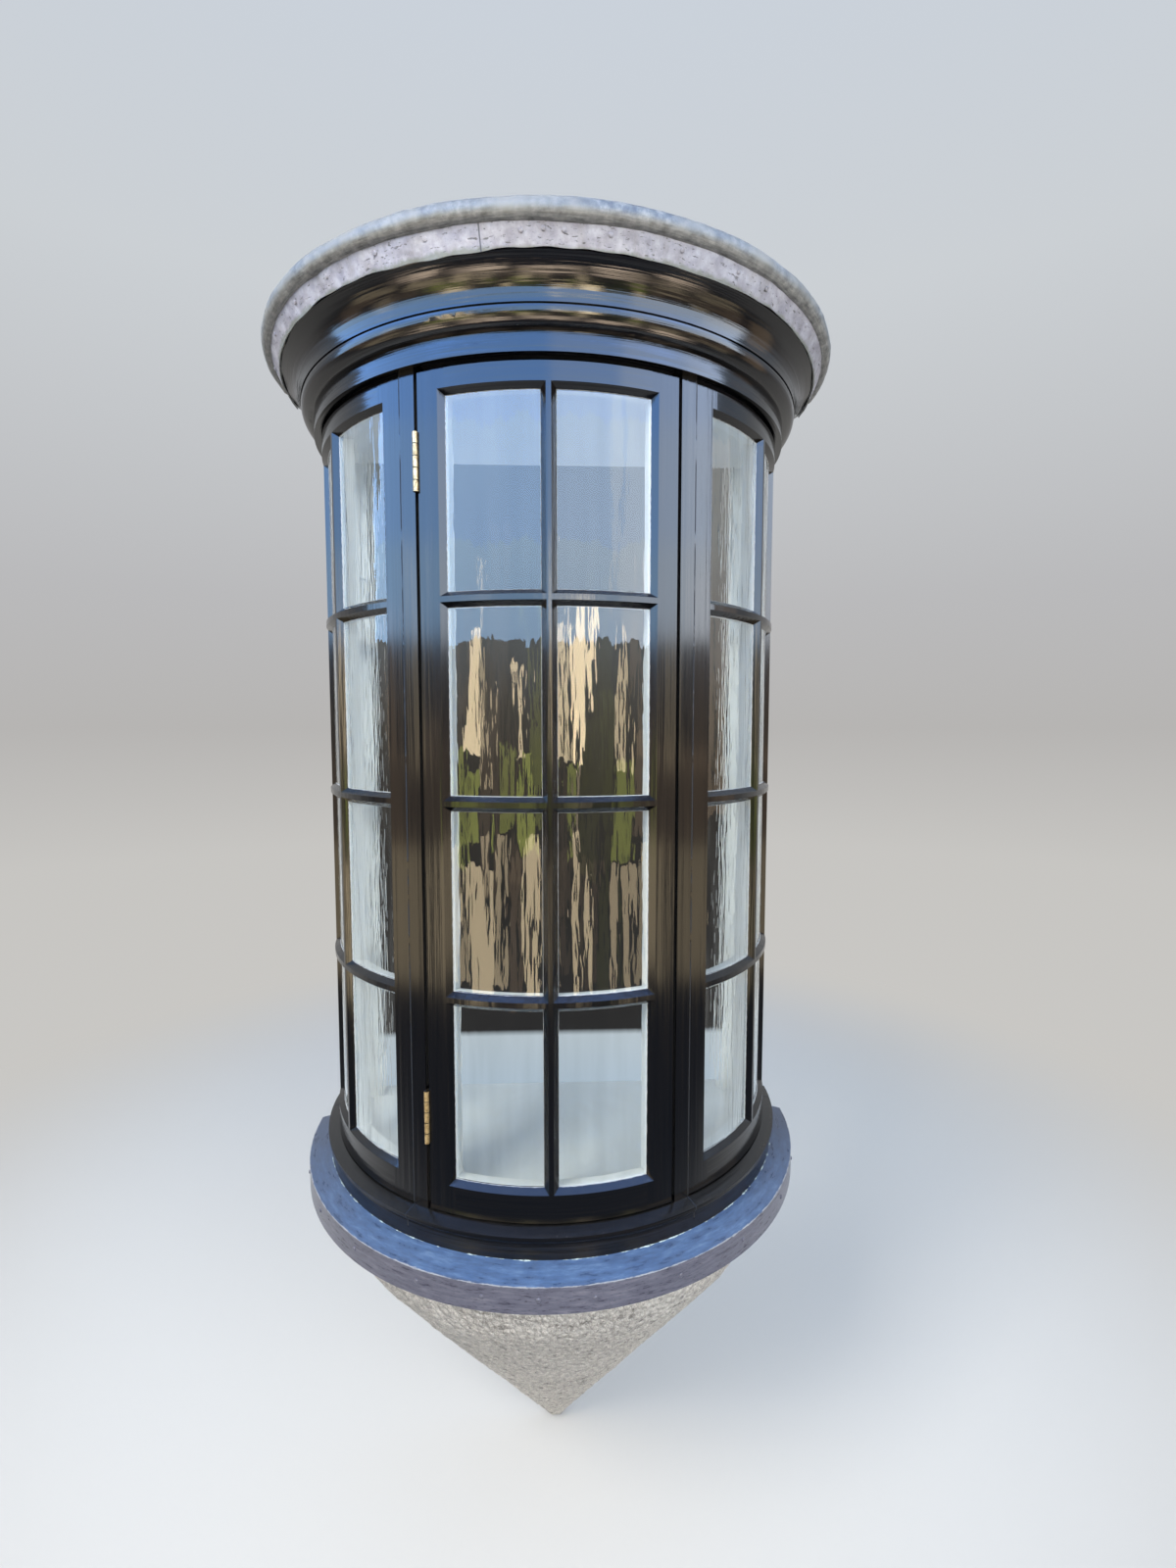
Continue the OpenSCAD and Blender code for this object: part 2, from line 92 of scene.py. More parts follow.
# %% A helper that adds a node
def add(tree, kind, inputs=None, **fields):
    node = tree.nodes.new("ShaderNode" + kind)
    for field, value in fields.items():
        setattr(node, field, value)
    for name, value in (inputs or {}).items():
        if isinstance(value, bpy.types.Node):
            value = value.outputs[0]
        if isinstance(value, bpy.types.NodeSocket):
            tree.links.new(value, node.inputs[name])
        else:
            node.inputs[name].default_value = value
    return node


print("nodes can be added")

# %% [markdown]
# A few kinds of node come up again and again, so each gets a short helper: a step of arithmetic,
# a product, a value spread over a new range, a vector taken apart and a noise.

# %% Helpers for numbers and patterns
def maths(tree, operation, first, second=0.0, third=0.0):
    node = add(tree, "Math", {0: first, 1: second, 2: third}, operation=operation)
    return node.outputs[0]


def times(tree, value, factor, plus=0.0):
    return maths(tree, "MULTIPLY_ADD", value, factor, plus)


def spread(tree, value, start, end, lowest=0.0, highest=1.0, kind="LINEAR"):
    node = add(tree, "MapRange", {"Value": value, "From Min": start, "From Max": end,
        "To Min": lowest, "To Max": highest}, interpolation_type=kind)
    return node.outputs["Result"]


def apart(tree, vector):
    return add(tree, "SeparateXYZ", {"Vector": vector}).outputs


def noise(tree, vector, scale=1.0, detail=2.0, rough=0.5, warp=0.0):
    node = add(tree, "TexNoise", {"Vector": vector, "Scale": scale, "Detail": detail,
        "Roughness": rough, "Distortion": warp})
    return node.outputs["Fac"]


print("numbers can be worked out")

# %% [markdown]
# Two more give colours. A ramp turns a number into a colour, by stops of a place and a colour,
# and a blend lays a second colour over a first one, up to a given strength.

# %% Helpers for colours
def ramp(tree, value, *stops):
    node = add(tree, "ValToRGB", {"Fac": value})
    points = node.color_ramp.elements
    while len(points) < len(stops):
        points.new(0.5)
    for point, (place, colour) in zip(points, stops):
        point.position = place
        point.color = (*colour, 1.0)
    return node.outputs["Color"]


def blend(tree, share, first, second, most=1.0):
    if most < 1.0:
        share = times(tree, share, most)
    node = add(tree, "Mix", {0: share}, data_type="RGBA")
    for socket, value in ((node.inputs[6], first), (node.inputs[7], second)):
        if isinstance(value, tuple):
            socket.default_value = (*value, 1.0)
        else:
            tree.links.new(value, socket)
    return node.outputs[2]


print("colours can be mixed")

# %% [markdown]
# Two more helpers place a group in a tree, and start a material whose tree is empty.

# %% Helpers for groups and materials
def placed_group(tree, group):
    node = tree.nodes.new("ShaderNodeGroup")
    node.node_tree = group
    return node


def empty_material(name):
    material = bpy.data.materials.new(name)
    material.use_nodes = True
    material.node_tree.nodes.clear()
    return material, material.node_tree


print("groups and materials can be made")

# %% [markdown]
# Gloss paint and old glass are mostly what they mirror, so the sky is a soft gradient and not one
# grey. Behind the window it runs from a pale floor tone through grey at eye level to pale blue.
# In front, where the window faces, the ground is darker and the horizon a little warm, as it is
# outdoors. Two ramps by height are mixed by how far a direction points to the front. They are a
# group, because the far part of the floor takes the same tones.

# %% World
sky = bpy.data.node_groups.new("sky by direction", "ShaderNodeTree")
sky.interface.new_socket("Direction", in_out="INPUT", socket_type="NodeSocketVector")
sky.interface.new_socket("Colour", in_out="OUTPUT", socket_type="NodeSocketColor")
way = apart(sky, sky.nodes.new("NodeGroupInput").outputs["Direction"])
height = times(sky, way["Z"], 0.5, 0.5)
behind = ramp(sky, height,
    (0.00, (0.62, 0.61, 0.59)),
    (0.42, (0.57, 0.56, 0.54)),
    (0.50, (0.47, 0.46, 0.45)),
    (0.58, (0.49, 0.49, 0.50)),
    (0.74, (0.60, 0.63, 0.66)),
    (1.00, (0.58, 0.66, 0.78)))
ahead = ramp(sky, height,
    (0.00, (0.13, 0.15, 0.19)),
    (0.36, (0.10, 0.10, 0.11)),
    (0.46, (0.15, 0.14, 0.13)),
    (0.51, (0.31, 0.29, 0.27)),
    (0.55, (0.45, 0.50, 0.58)),
    (0.62, (0.50, 0.61, 0.76)),
    (1.00, (0.50, 0.64, 0.86)))
forward = spread(sky, way["Y"], 0.45, 0.05, kind="SMOOTHSTEP")
seen_sky = blend(sky, forward, behind, ahead)
sky.links.new(seen_sky, sky.nodes.new("NodeGroupOutput").inputs["Colour"])

world = bpy.data.worlds.new("soft sky")
bpy.context.scene.world = world
world.use_nodes = True
tree = world.node_tree
tree.nodes.clear()
dome = placed_group(tree, sky)
tree.links.new(add(tree, "TexCoord").outputs["Generated"], dome.inputs["Direction"])
add(tree, "OutputWorld", {"Surface": add(tree, "Background", {"Color": dome, "Strength": 1.0})})
print("sky ramps", 2)

# %% [markdown]
# The floor is a wide round sheet under the tip of the corbel. Near the window it is matt and
# takes the shadow. Further off it passes into the tones that the sky has in that direction, seen
# from a point before the panes, so there is no hard horizon. In front of the window it is
# darker, because gloss paint near the sill would otherwise mirror a bright floor and look grey.

# %% Floor
FLOOR_R = 60.0
FLOOR_Z = -0.6405
SIGHT_FROM = (0.0, -1.2, 1.1)
bpy.ops.object.select_all(action="DESELECT")
bpy.ops.mesh.primitive_circle_add(vertices=96, radius=FLOOR_R, fill_type="NGON",
    location=(0, 0, FLOOR_Z))
floor = bpy.context.object
floor.name = "floor"
floor_paint, tree = empty_material("pale floor")
spot = add(tree, "NewGeometry").outputs["Position"]
reach = add(tree, "VectorMath", {0: spot, 1: (0.0, 1.0, FLOOR_Z)}, operation="DISTANCE")
fade = spread(tree, reach.outputs["Value"], 1.3, 3.0, kind="SMOOTHSTEP")
shade = spread(tree, apart(tree, spot)["Y"], -0.4, -1.4, kind="SMOOTHSTEP")
ground = blend(tree, shade, (0.66, 0.65, 0.63), (0.12, 0.135, 0.165))
sight = add(tree, "VectorMath", {0: spot, 1: SIGHT_FROM}, operation="SUBTRACT")
sight = add(tree, "VectorMath", {0: sight}, operation="NORMALIZE")
distance = placed_group(tree, sky)
tree.links.new(sight.outputs["Vector"], distance.inputs["Direction"])
matt = add(tree, "BsdfDiffuse", {"Color": ground})
far_off = add(tree, "Emission", {"Color": distance})
add(tree, "OutputMaterial", {"Surface": add(tree, "MixShader", {0: fade, 1: matt, 2: far_off})})
floor_paint.cycles.emission_sampling = "NONE"
floor.data.materials.append(floor_paint)
print("floor radius", FLOOR_R)

# %% [markdown]
# Behind a real window lies an unlit room, and against it old glass shows what it mirrors. A
# glowing backdrop in the plane of the wall paints that room's light and shade: pale painted light
# below the level of the deep inner sill, dim brown painted shade above it and a little lighter near
# the ceiling. It is seen only from the front and lets daylight through, so from behind the open
# window still shows its inside.

# %% The room behind
INNER_SILL_Z = 0.356
bpy.ops.object.select_all(action="DESELECT")
bpy.ops.mesh.primitive_plane_add(size=1.0, location=(0, 0.006, 0.97),
    rotation=(math.pi / 2, 0, 0))
room = bpy.context.object
room.name = "glowing room shade"
bpy.ops.transform.resize(value=(0.88, 1.0, 1.55))
painted_room_glow, tree = empty_material("glowing room shade")
geometry = add(tree, "NewGeometry").outputs
up = apart(tree, geometry["Position"])["Z"]
# Painted light and shade of the room: pale below the inner sill, dim above it, a glow and no lamp.
room_light_and_shade = ramp(tree, spread(tree, up, 0.0, 2.0),
    (0.110, (0.52, 0.61, 0.71)),
    (0.174, (0.60, 0.66, 0.71)),
    (0.178, (0.016, 0.014, 0.012)),
    (0.500, (0.026, 0.021, 0.016)),
    (0.620, (0.050, 0.044, 0.034)),
    (0.780, (0.13, 0.135, 0.12)))
# Blotches vary the painted shade above the inner sill.
dim = maths(tree, "GREATER_THAN", up, INNER_SILL_Z)
shade_blotches = times(tree, noise(tree, geometry["Position"], 4.0), dim)
blotched_room_light_and_shade = blend(tree, shade_blotches, room_light_and_shade, (0.05, 0.045, 0.04), 0.4)
seen = add(tree, "Emission", {"Color": blotched_room_light_and_shade, "Strength": 1.0})
path = add(tree, "LightPath").outputs
daylight = maths(tree, "MAXIMUM", path["Is Diffuse Ray"], path["Is Shadow Ray"])
lets_by = maths(tree, "MAXIMUM", daylight, geometry["Backfacing"])
mixed = add(tree, "MixShader", {0: lets_by, 1: seen, 2: add(tree, "BsdfTransparent")})
add(tree, "OutputMaterial", {"Surface": mixed})
room.data.materials.append(painted_room_glow)
print("room backdrop", [round(v, 3) for v in room.dimensions])

# %% [markdown]
# A broad warm key lamp from the upper left models the round forms, and a large fill lamp opposite
# keeps the shade open. Neither shows in the gloss, because what paint and glass mirror is built
# below. The helper adds an area lamp and turns it towards a point.

# %% Key and fill
def soft_lamp(name, size, watts, colour, place, aim):
    data = bpy.data.lights.new(name, "AREA")
    data.shape = "RECTANGLE"
    data.size, data.size_y = size
    data.energy = watts
    data.color = colour
    lamp = bpy.data.objects.new(name, data)
    bpy.context.collection.objects.link(lamp)
    lamp.location = place
    way = [a - b for a, b in zip(aim, place)]
    flat = math.hypot(way[0], way[1])
    lamp.rotation_euler = (math.atan2(flat, -way[2]), 0.0, math.atan2(way[1], way[0]) - math.pi / 2)
    lamp.visible_camera = False
    lamp.visible_transmission = False
    return lamp


key = soft_lamp("key lamp", (1.8, 1.8), 190.0, (1.0, 0.95, 0.88), (-2.2, -2.8, 3.4), (0, 0, 0.8))
fill = soft_lamp("fill lamp", (3.0, 3.0), 150.0, (0.96, 0.98, 1.0), (1.6, -3.8, 1.3), (0, 0, 0.6))
for lamp in (key, fill):
    lamp.visible_glossy = False
print("key and fill", key.data.energy, fill.data.energy, "watts")

# %% [markdown]
# All the other lamps only add sheen, so the white boards and the plaster keep their own colours.
# Such a glow is an upright panel that looks straight at the axis of the window. It is given by
# its direction, its distance, its width, its lower and upper edge and how bright it looks, and
# the watts follow from its area.

# %% A helper for panels that only add sheen
def glow(name, turn, out, width, low, high, strength, colour):
    a = math.radians(turn)
    middle = (low + high) / 2
    watts = math.pi * width * (high - low) * strength
    lamp = soft_lamp(name, (width, high - low), watts, colour,
        (out * math.sin(a), -out * math.cos(a), middle), (0, 0, middle))
    lamp.visible_diffuse = False


print("a glow is given by its direction in degrees")

# %% [markdown]
# The window faces the blue sky. Cool panels stand for it in an arc, in three tiers that are
# paler low down and to the right, where the air is hazy. The last one on the right is narrower,
# so that warm strips show beside it in the side pane. One more panel of deep blue hangs
# overhead, where the ledges look.

# %% Panels of sky
def between(first, second, share):
    return tuple(a + (b - a) * share for a, b in zip(first, second))


SKY_OUT = 4.2
ZENITH_SIZE = (9.0, 3.6)
tiers = [("low", 1.70, 2.35, (0.31, 0.54, 0.86), (0.60, 0.66, 0.74)),
    ("middle", 2.35, 3.15, (0.25, 0.49, 0.93), (0.54, 0.63, 0.78)),
    ("high", 3.15, 5.20, (0.17, 0.42, 1.00), (0.46, 0.58, 0.82))]
for turn, width in ((-75, 2.25), (-45, 2.25), (-15, 2.25), (15, 2.25), (45, 2.25), (69.5, 1.41)):
    haze = max(0.0, min(1.0, (turn + 15) / 75))
    for rank, low, high, left, right in tiers:
        glow(f"{rank} sky {turn}", turn, SKY_OUT, width, low, high, 7.4 + 2.0 * haze ** 2,
            between(left, right, haze))
zenith = soft_lamp("sky above", ZENITH_SIZE, math.prod(ZENITH_SIZE) * math.pi * 2.6,
    (0.13, 0.34, 1.0), (0, -2.1, 5.1), (0, -0.4, 0.6))
zenith.visible_diffuse = False
print("tiers of sky", len(tiers))

# %% [markdown]
# Below the sky, narrow warm strips of different heights stand in three ranks, so that the paint
# and the old glass have an uneven horizon to mirror. A row gives the direction in degrees, the
# width, the lower and the upper edge in metres, the strength and the colour.

# %% Strips near the horizon
SAND, OLIVE, BROWN = (1.0, 0.80, 0.50), (0.53, 0.58, 0.12), (0.62, 0.43, 0.26)
far = [(-78, 0.7, 0.9, 1.9, 1.3, BROWN), (-62, 0.5, 0.8, 2.3, 1.9, SAND),
    (-50, 0.35, 0.9, 1.7, 0.8, BROWN), (-41, 0.25, 0.6, 2.0, 0.6, BROWN),
    (-34, 0.5, 0.95, 1.75, 11.7, SAND), (-29, 0.12, 0.7, 2.2, 4.7, SAND),
    (-23, 0.3, 0.5, 2.4, 0.4, BROWN), (-15, 0.2, 0.9, 1.55, 9.4, SAND),
    (-8, 0.25, 0.7, 1.9, 1.4, OLIVE), (2, 0.12, 0.9, 2.3, 12.5, SAND),
    (6, 0.22, 0.9, 1.8, 9.4, SAND), (14, 0.45, 0.85, 1.95, 14.8, SAND),
    (23, 0.5, 0.6, 2.1, 0.3, OLIVE), (32, 0.2, 0.8, 1.8, 7.0, SAND),
    (39, 0.25, 0.9, 2.2, 1.2, BROWN), (46, 0.3, 0.9, 2.0, 0.6, BROWN),
    (56, 0.5, 0.8, 1.7, 2.0, SAND), (71, 0.6, 0.8, 2.1, 1.0, BROWN),
    (88, 0.9, 0.5, 3.0, 1.3, BROWN)]
middle = [(-74, 1.0, 0.35, 0.95, 1.0, BROWN), (-54, 0.9, 0.45, 1.15, 0.9, BROWN),
    (-40, 0.4, 0.25, 1.0, 3.8, OLIVE), (-33, 0.3, 0.4, 0.85, 4.6, OLIVE),
    (-27, 0.25, 0.1, 1.3, 0.8, BROWN), (-21, 0.25, 0.5, 1.0, 3.0, OLIVE),
    (-16, 0.2, 0.2, 1.25, 0.6, BROWN), (-11, 0.3, 0.35, 0.95, 4.9, OLIVE),
    (-4, 0.25, 0.5, 1.1, 1.9, OLIVE), (2, 0.3, 0.0, 1.2, 0.4, BROWN),
    (8, 0.2, 0.3, 0.9, 3.5, OLIVE), (12, 0.15, 0.45, 1.2, 2.5, SAND),
    (17, 0.3, 0.2, 1.15, 0.4, OLIVE), (25, 0.4, 0.5, 1.3, 0.4, OLIVE),
    (32, 0.3, 0.3, 0.9, 3.5, OLIVE), (39, 0.35, 0.45, 1.1, 1.4, BROWN),
    (50, 0.8, 0.3, 1.0, 1.0, BROWN), (68, 1.1, 0.4, 0.98, 1.1, BROWN)]
near = [(-70, 1.2, -0.42, 0.4, 2.0, SAND), (-47, 0.9, -0.42, 0.42, 3.4, SAND),
    (-33, 0.45, -0.52, 0.3, 6.5, SAND), (-24, 0.35, -0.42, 0.5, 3.9, SAND),
    (-16, 0.3, -0.56, 0.36, 1.2, BROWN), (-9, 0.3, -0.52, 0.45, 7.2, SAND),
    (-2, 0.25, -0.42, 0.3, 2.9, SAND), (5, 0.3, -0.34, 0.4, 0.5, BROWN),
    (12, 0.2, -0.52, 0.5, 6.5, SAND), (18, 0.3, -0.42, 0.35, 0.6, BROWN),
    (25, 0.3, -0.56, 0.5, 0.4, OLIVE), (33, 0.35, -0.52, 0.3, 3.9, SAND),
    (46, 0.8, -0.42, 0.42, 2.6, SAND), (68, 1.2, -0.42, 0.4, 1.8, SAND)]
for rank, out, strips in (("far", 4.0, far), ("middle", 3.5, middle), ("near", 3.4, near)):
    for turn, width, low, high, strength, colour in strips:
        glow(f"{rank} strip {turn}", turn, out, width, low, high, strength, colour)
print("strips", len(far), len(middle), len(near))

# %% [markdown]
# A few narrow beams shine up into the hollow of the cornice and give it its golden band. Their
# small spread keeps them off everything else.

# %% Beams into the cornice
BEAM_FROM = (2.4, -0.5)
BEAM_TO = (0.5, 1.8)
for turn in (-60, -30, 0, 30, 60):
    a = math.radians(turn)
    start, end = ((r * math.sin(a), -r * math.cos(a), z) for r, z in (BEAM_FROM, BEAM_TO))
    lamp = soft_lamp(f"cornice glow {turn}", (1.15, 1.0), 1.15 * math.pi * 0.24,
        (1.0, 0.78, 0.58), start, end)
    lamp.data.spread = math.radians(28)
    lamp.visible_diffuse = False

# %% [markdown]
# Brush marks, rust runs and dents follow the curve of the window, so patterns are drawn on
# unrolled coordinates: the length round the curve, the distance from the axis and the height.
# Object coordinates give them, because every finished piece sits at the origin. A streaky noise
# has its own scale in each of the three directions.

# %% Unrolled coordinates
def on_piece(tree):
    return add(tree, "TexCoord").outputs["Object"]


def unrolled(tree):
    place = apart(tree, on_piece(tree))
    outwards = times(tree, place["Y"], -1.0)
    angle = maths(tree, "ARCTAN2", place["X"], outwards)
    flat = add(tree, "CombineXYZ", {"X": place["X"], "Y": place["Y"]})
    radius = add(tree, "VectorMath", {0: flat}, operation="LENGTH").outputs["Value"]
    return times(tree, angle, BAY_R), radius, place["Z"]


def stretched(tree, parts, scales):
    scaled = [times(tree, part, scale) for part, scale in zip(parts, scales)]
    return add(tree, "CombineXYZ", {"X": scaled[0], "Y": scaled[1], "Z": scaled[2]})


def streaky(tree, parts, scales, detail=2.0, rough=0.5):
    return noise(tree, stretched(tree, parts, scales), 1.0, detail, rough)


print("unrolled from the axis at", BAY_R)

# %% [markdown]
# An effect that several materials use is a node group with named inputs and outputs. One helper
# makes an empty group, and the other places it in a material with that material's own values.

# %% Helpers for node groups
def new_group(name, inputs, outputs):
    group = bpy.data.node_groups.new(name, "ShaderNodeTree")
    for label, value in inputs.items():
        socket = group.interface.new_socket(label, in_out="INPUT", socket_type="NodeSocketFloat")
        socket.default_value = value
    for label in outputs:
        group.interface.new_socket(label, in_out="OUTPUT", socket_type="NodeSocketFloat")
    entry = group.nodes.new("NodeGroupInput")
    end = group.nodes.new("NodeGroupOutput")
    return group, entry.outputs, end.inputs


def use_group(tree, group, **values):
    node = placed_group(tree, group)
    for label, value in values.items():
        node.inputs[label.replace("_", " ")].default_value = value
    return node.outputs


print("node groups can be made")

# %% [markdown]
# Gloss paint put on with a brush dries in fine ridges along the stroke, with a slower swell
# under them. The ridges are a noise that is stretched along the piece. Stiles and posts are
# painted upwards, and rails, sills and mouldings along the curve, so the group takes how many
# ridges fit in a metre each way.

# %% Brush marks
brush_marks, given, made = new_group("brush marks",
    {"Ridges along": 500.0, "Ridges up": 6.0}, ["Height", "Streak", "Patch"])
tree = brush_marks
parts = unrolled(tree)
drawn = stretched(tree, parts, (given["Ridges along"], 300.0, given["Ridges up"]))
fine = times(tree, noise(tree, drawn, 1.0, 3.0, 0.6), 0.4)
bristle = noise(tree, drawn, 0.32, 2.0, 0.55)
swell = noise(tree, drawn, 0.1, 1.0)
ridges = times(tree, bristle, 1.5, fine)
tree.links.new(times(tree, swell, 3.0, ridges), made["Height"])
tree.links.new(times(tree, bristle, 0.6, fine), made["Streak"])
tree.links.new(streaky(tree, parts, (9.0, 9.0, 9.0), 3.0), made["Patch"])
print("group", brush_marks.name)

# %% [markdown]
# Dust settles on whatever faces up, and rain washes dirt down in streaks. One group gives both
# as masks, and broad patches as well, so that each finish can take its own share of them.

# %% Weather
weather, given, made = new_group("weather", {"Streaks": 60.0}, ["Dust", "Runs", "Patches"])
tree = weather
parts = unrolled(tree)
lying = spread(tree, apart(tree, add(tree, "NewGeometry").outputs["Normal"])["Z"], 0.35, 0.95)
grain = streaky(tree, parts, (90.0, 90.0, 90.0), 4.0, 0.65)
tree.links.new(times(tree, lying, grain), made["Dust"])
runs = streaky(tree, parts, (given["Streaks"], 20.0, 3.0), 3.0, 0.6)
tree.links.new(spread(tree, runs, 0.5, 0.72), made["Runs"])
cloud = streaky(tree, parts, (14.0, 14.0, 14.0), 5.0, 0.6)
tree.links.new(spread(tree, cloud, 0.4, 0.65), made["Patches"])
print("group", weather.name)

# %% [markdown]
# Every finish starts with a Principled shader and its output. At the end it gives the shader a
# colour, a roughness where that varies, and a height that tilts its surface a little.

# %% Helpers that start and end a finish
def start_finish(name, roughness=0.5, metallic=0.0):
    material, tree = empty_material(name)
    shader = add(tree, "BsdfPrincipled", {"Roughness": roughness, "Metallic": metallic})
    add(tree, "OutputMaterial", {"Surface": shader})
    return material, tree, shader


def give(tree, shader, colour, roughness, height, distance):
    tree.links.new(colour, shader.inputs["Base Color"])
    if roughness is not None:
        tree.links.new(roughness, shader.inputs["Roughness"])
    bump = add(tree, "Bump", {"Height": height, "Distance": distance, "Strength": 1.0})
    tree.links.new(bump.outputs["Normal"], shader.inputs["Normal"])


print("finishes start from a Principled shader")

# %% [markdown]
# The paint isn't whole everywhere. Where a fixed light is nailed to its mullion or post, it has
# cracked in a thin broken line, at the same two angles on either side. And the faces that were
# sawn off to stand against the wall never got a coat, so they show the grain of the wood.

# %% Cracks and bare wood
CRACK_TURNS = (30.92, 83.81)
CRACK_TOP_Z = 1.70


def paint_cracks(tree, along, up):
    upward = add(tree, "CombineXYZ", {"Z": up})
    shiver = noise(tree, upward, 60.0, 3.0, 0.7)
    off = times(tree, shiver, 0.0012, maths(tree, "ABSOLUTE", along))
    lines = [maths(tree, "COMPARE", off, math.radians(turn) * BAY_R + 0.0006, 0.0012)
        for turn in CRACK_TURNS]
    broken = spread(tree, noise(tree, upward, 9.0, 3.0, 0.7), 0.42, 0.5)
    cracked = times(tree, maths(tree, "MAXIMUM", *lines), broken)
    return times(tree, cracked, maths(tree, "LESS_THAN", up, CRACK_TOP_Z))


def at_wall(tree):
    normal = apart(tree, add(tree, "NewGeometry").outputs["Normal"])
    close_by = maths(tree, "GREATER_THAN", apart(tree, on_piece(tree))["Y"], -0.0006)
    return times(tree, close_by, maths(tree, "GREATER_THAN", normal["Y"], 0.8))


def wood_grain(tree, scales, warp, dark, middle, pale):
    squeezed = add(tree, "Mapping", {"Vector": on_piece(tree), "Scale": scales})
    rings = noise(tree, squeezed, 1.0, 4.0, 0.6, warp)
    return rings, ramp(tree, rings, (0.36, dark), (0.52, middle), (0.68, pale))


print("cracks at", CRACK_TURNS, "degrees")

# %% [markdown]
# The joinery is black gloss outside and white inside. The two coats meet just in front of the
# glass, where a thin pale line of old putty stays bare round each pane, and at a frame member
# inside its joint, along a line that a hand has cut in. So the coat is chosen by the
# distance from the axis, with a slightly ragged edge, and not by separate pieces.

# %% Black outside, white inside
PUTTY = (0.33, 0.33, 0.32)


def coat_colour(tree, marks, worn, outer, on_putty):
    black = ramp(tree, marks["Streak"], (0.38, (0.0014, 0.0018, 0.0030)),
        (0.56, (0.0030, 0.0030, 0.0038)), (0.72, (0.0100, 0.0072, 0.0052)))
    black = blend(tree, worn["Dust"], black, (0.16, 0.145, 0.12), 0.10)
    white = blend(tree, worn["Patches"], (0.78, 0.77, 0.73), (0.64, 0.62, 0.56), 0.25)
    return blend(tree, outer, blend(tree, on_putty, white, PUTTY), black)


def joinery_paint(name, ridges_along, ridges_up, white_within, relief):
    material, tree, shader = start_finish(name)
    marks = use_group(tree, brush_marks, Ridges_along=ridges_along, Ridges_up=ridges_up)
    worn = use_group(tree, weather, Streaks=80.0)
    parts = unrolled(tree)
    along, radius, up = parts
    rag = streaky(tree, parts, (160.0, 160.0, 160.0))
    edge = times(tree, rag, 0.002, radius)
    outer = spread(tree, edge, white_within + 0.0008, white_within + 0.0012)
    on_putty = times(tree, maths(tree, "GREATER_THAN", radius, GLASS_R - 0.0002),
        float(white_within > GLASS_R))
    sawn = at_wall(tree)
    dark = times(tree, paint_cracks(tree, along, up), outer)
    end_grain = wood_grain(tree, (150.0, 1.0, 5.0), 0.4, (0.22, 0.150, 0.090),
        (0.36, 0.265, 0.170), (0.46, 0.355, 0.240))[1]
    coat = blend(tree, sawn, coat_colour(tree, marks, worn, outer, on_putty), end_grain)
    coat = blend(tree, dark, coat, (0.0015, 0.0015, 0.0015))
    gloss = times(tree, marks["Streak"], 0.22, 0.02)
    satin = times(tree, outer, -0.28, 0.28)
    torn = times(tree, dark, 0.6, maths(tree, "ADD", gloss, satin))
    dusty = times(tree, worn["Dust"], 0.18, torn)
    give(tree, shader, coat, times(tree, sawn, 0.5, dusty),
        times(tree, dark, -3.0, marks["Height"]), relief)
    return material


print("on a sash the coats meet", round(BAY_R - GLASS_R, 4), "m behind its face")

# %% [markdown]
# Four paints come from it: for the sashes and for the frame, each brushed upwards or along. The
# rails of the frame are the most worn, so their ridges are deeper.

# %% Four joinery paints
CUT_IN_R = GLASS_R + 0.0008
FRAME_IN_R = SASH_R - 0.001
sash_upright_paint = joinery_paint("sash paint brushed upwards", 450.0, 7.0, CUT_IN_R, 0.00028)
sash_rail_paint = joinery_paint("sash paint brushed along", 7.0, 450.0, CUT_IN_R, 0.00028)
frame_upright_paint = joinery_paint("frame paint brushed upwards", 450.0, 7.0, FRAME_IN_R, 0.00028)
frame_rail_paint = joinery_paint("frame paint brushed along", 9.0, 400.0, FRAME_IN_R, 0.00055)
print("joinery paints", 4)

# %% [markdown]
# Indoors the window board and the ceiling board are white satin paint, yellowed and scuffed a
# little by use.

# %% White paint
white_paint, tree, shader = start_finish("white satin paint")
marks = use_group(tree, brush_marks, Ridges_along=30.0, Ridges_up=30.0)
worn = use_group(tree, weather, Streaks=40.0)
white = blend(tree, worn["Patches"], (0.70, 0.71, 0.70), (0.62, 0.61, 0.57), 0.3)
give(tree, shader, white, times(tree, marks["Patch"], 0.2, 0.28),
    marks["Height"], 0.00008)
print(white_paint.name)

# %% [markdown]
# Old window glass was blown and flattened, so it is never quite flat. It swells in long upright
# waves that pull reflections into streaks. Here the waves are a height pattern on a clear shader
# with a faint grey-blue tint that varies in soft upright streaks, partly the glass and partly a
# painted streaky reflection. A ray that only asks whether a lamp is in view goes straight
# through, because otherwise the room side of the sashes would stay dark.

# %% Old glass
glass, tree, shader = start_finish("old window glass", roughness=0.0)
shader.inputs["Transmission Weight"].default_value = 1.0
shader.inputs["IOR"].default_value = 1.58
parts = unrolled(tree)
waves = streaky(tree, parts, (22.0, 1.0, 3.0), 1.0, 0.4)
ripples = streaky(tree, parts, (70.0, 1.0, 9.0), 2.0, 0.5)
streak = streaky(tree, parts, (30.0, 1.0, 3.0), 2.0, 0.5)
# The streaky tint is partly the glass and partly a painted reflection.
streaky_tint_and_reflection = ramp(tree, streak, (0.35, (0.79, 0.84, 0.85)), (0.65, (0.87, 0.92, 0.93)))
give(tree, shader, streaky_tint_and_reflection, None, times(tree, ripples, 0.22, waves), 0.0028)
open_way = add(tree, "BsdfTransparent", {"Color": (0.94, 0.96, 0.95, 1.0)})
lamp_ray = add(tree, "LightPath").outputs["Is Shadow Ray"]
both = add(tree, "MixShader", {0: lamp_ray, 1: shader, 2: open_way})
tree.links.new(both.outputs[0], tree.nodes["Material Output"].inputs["Surface"])
print(glass.name)
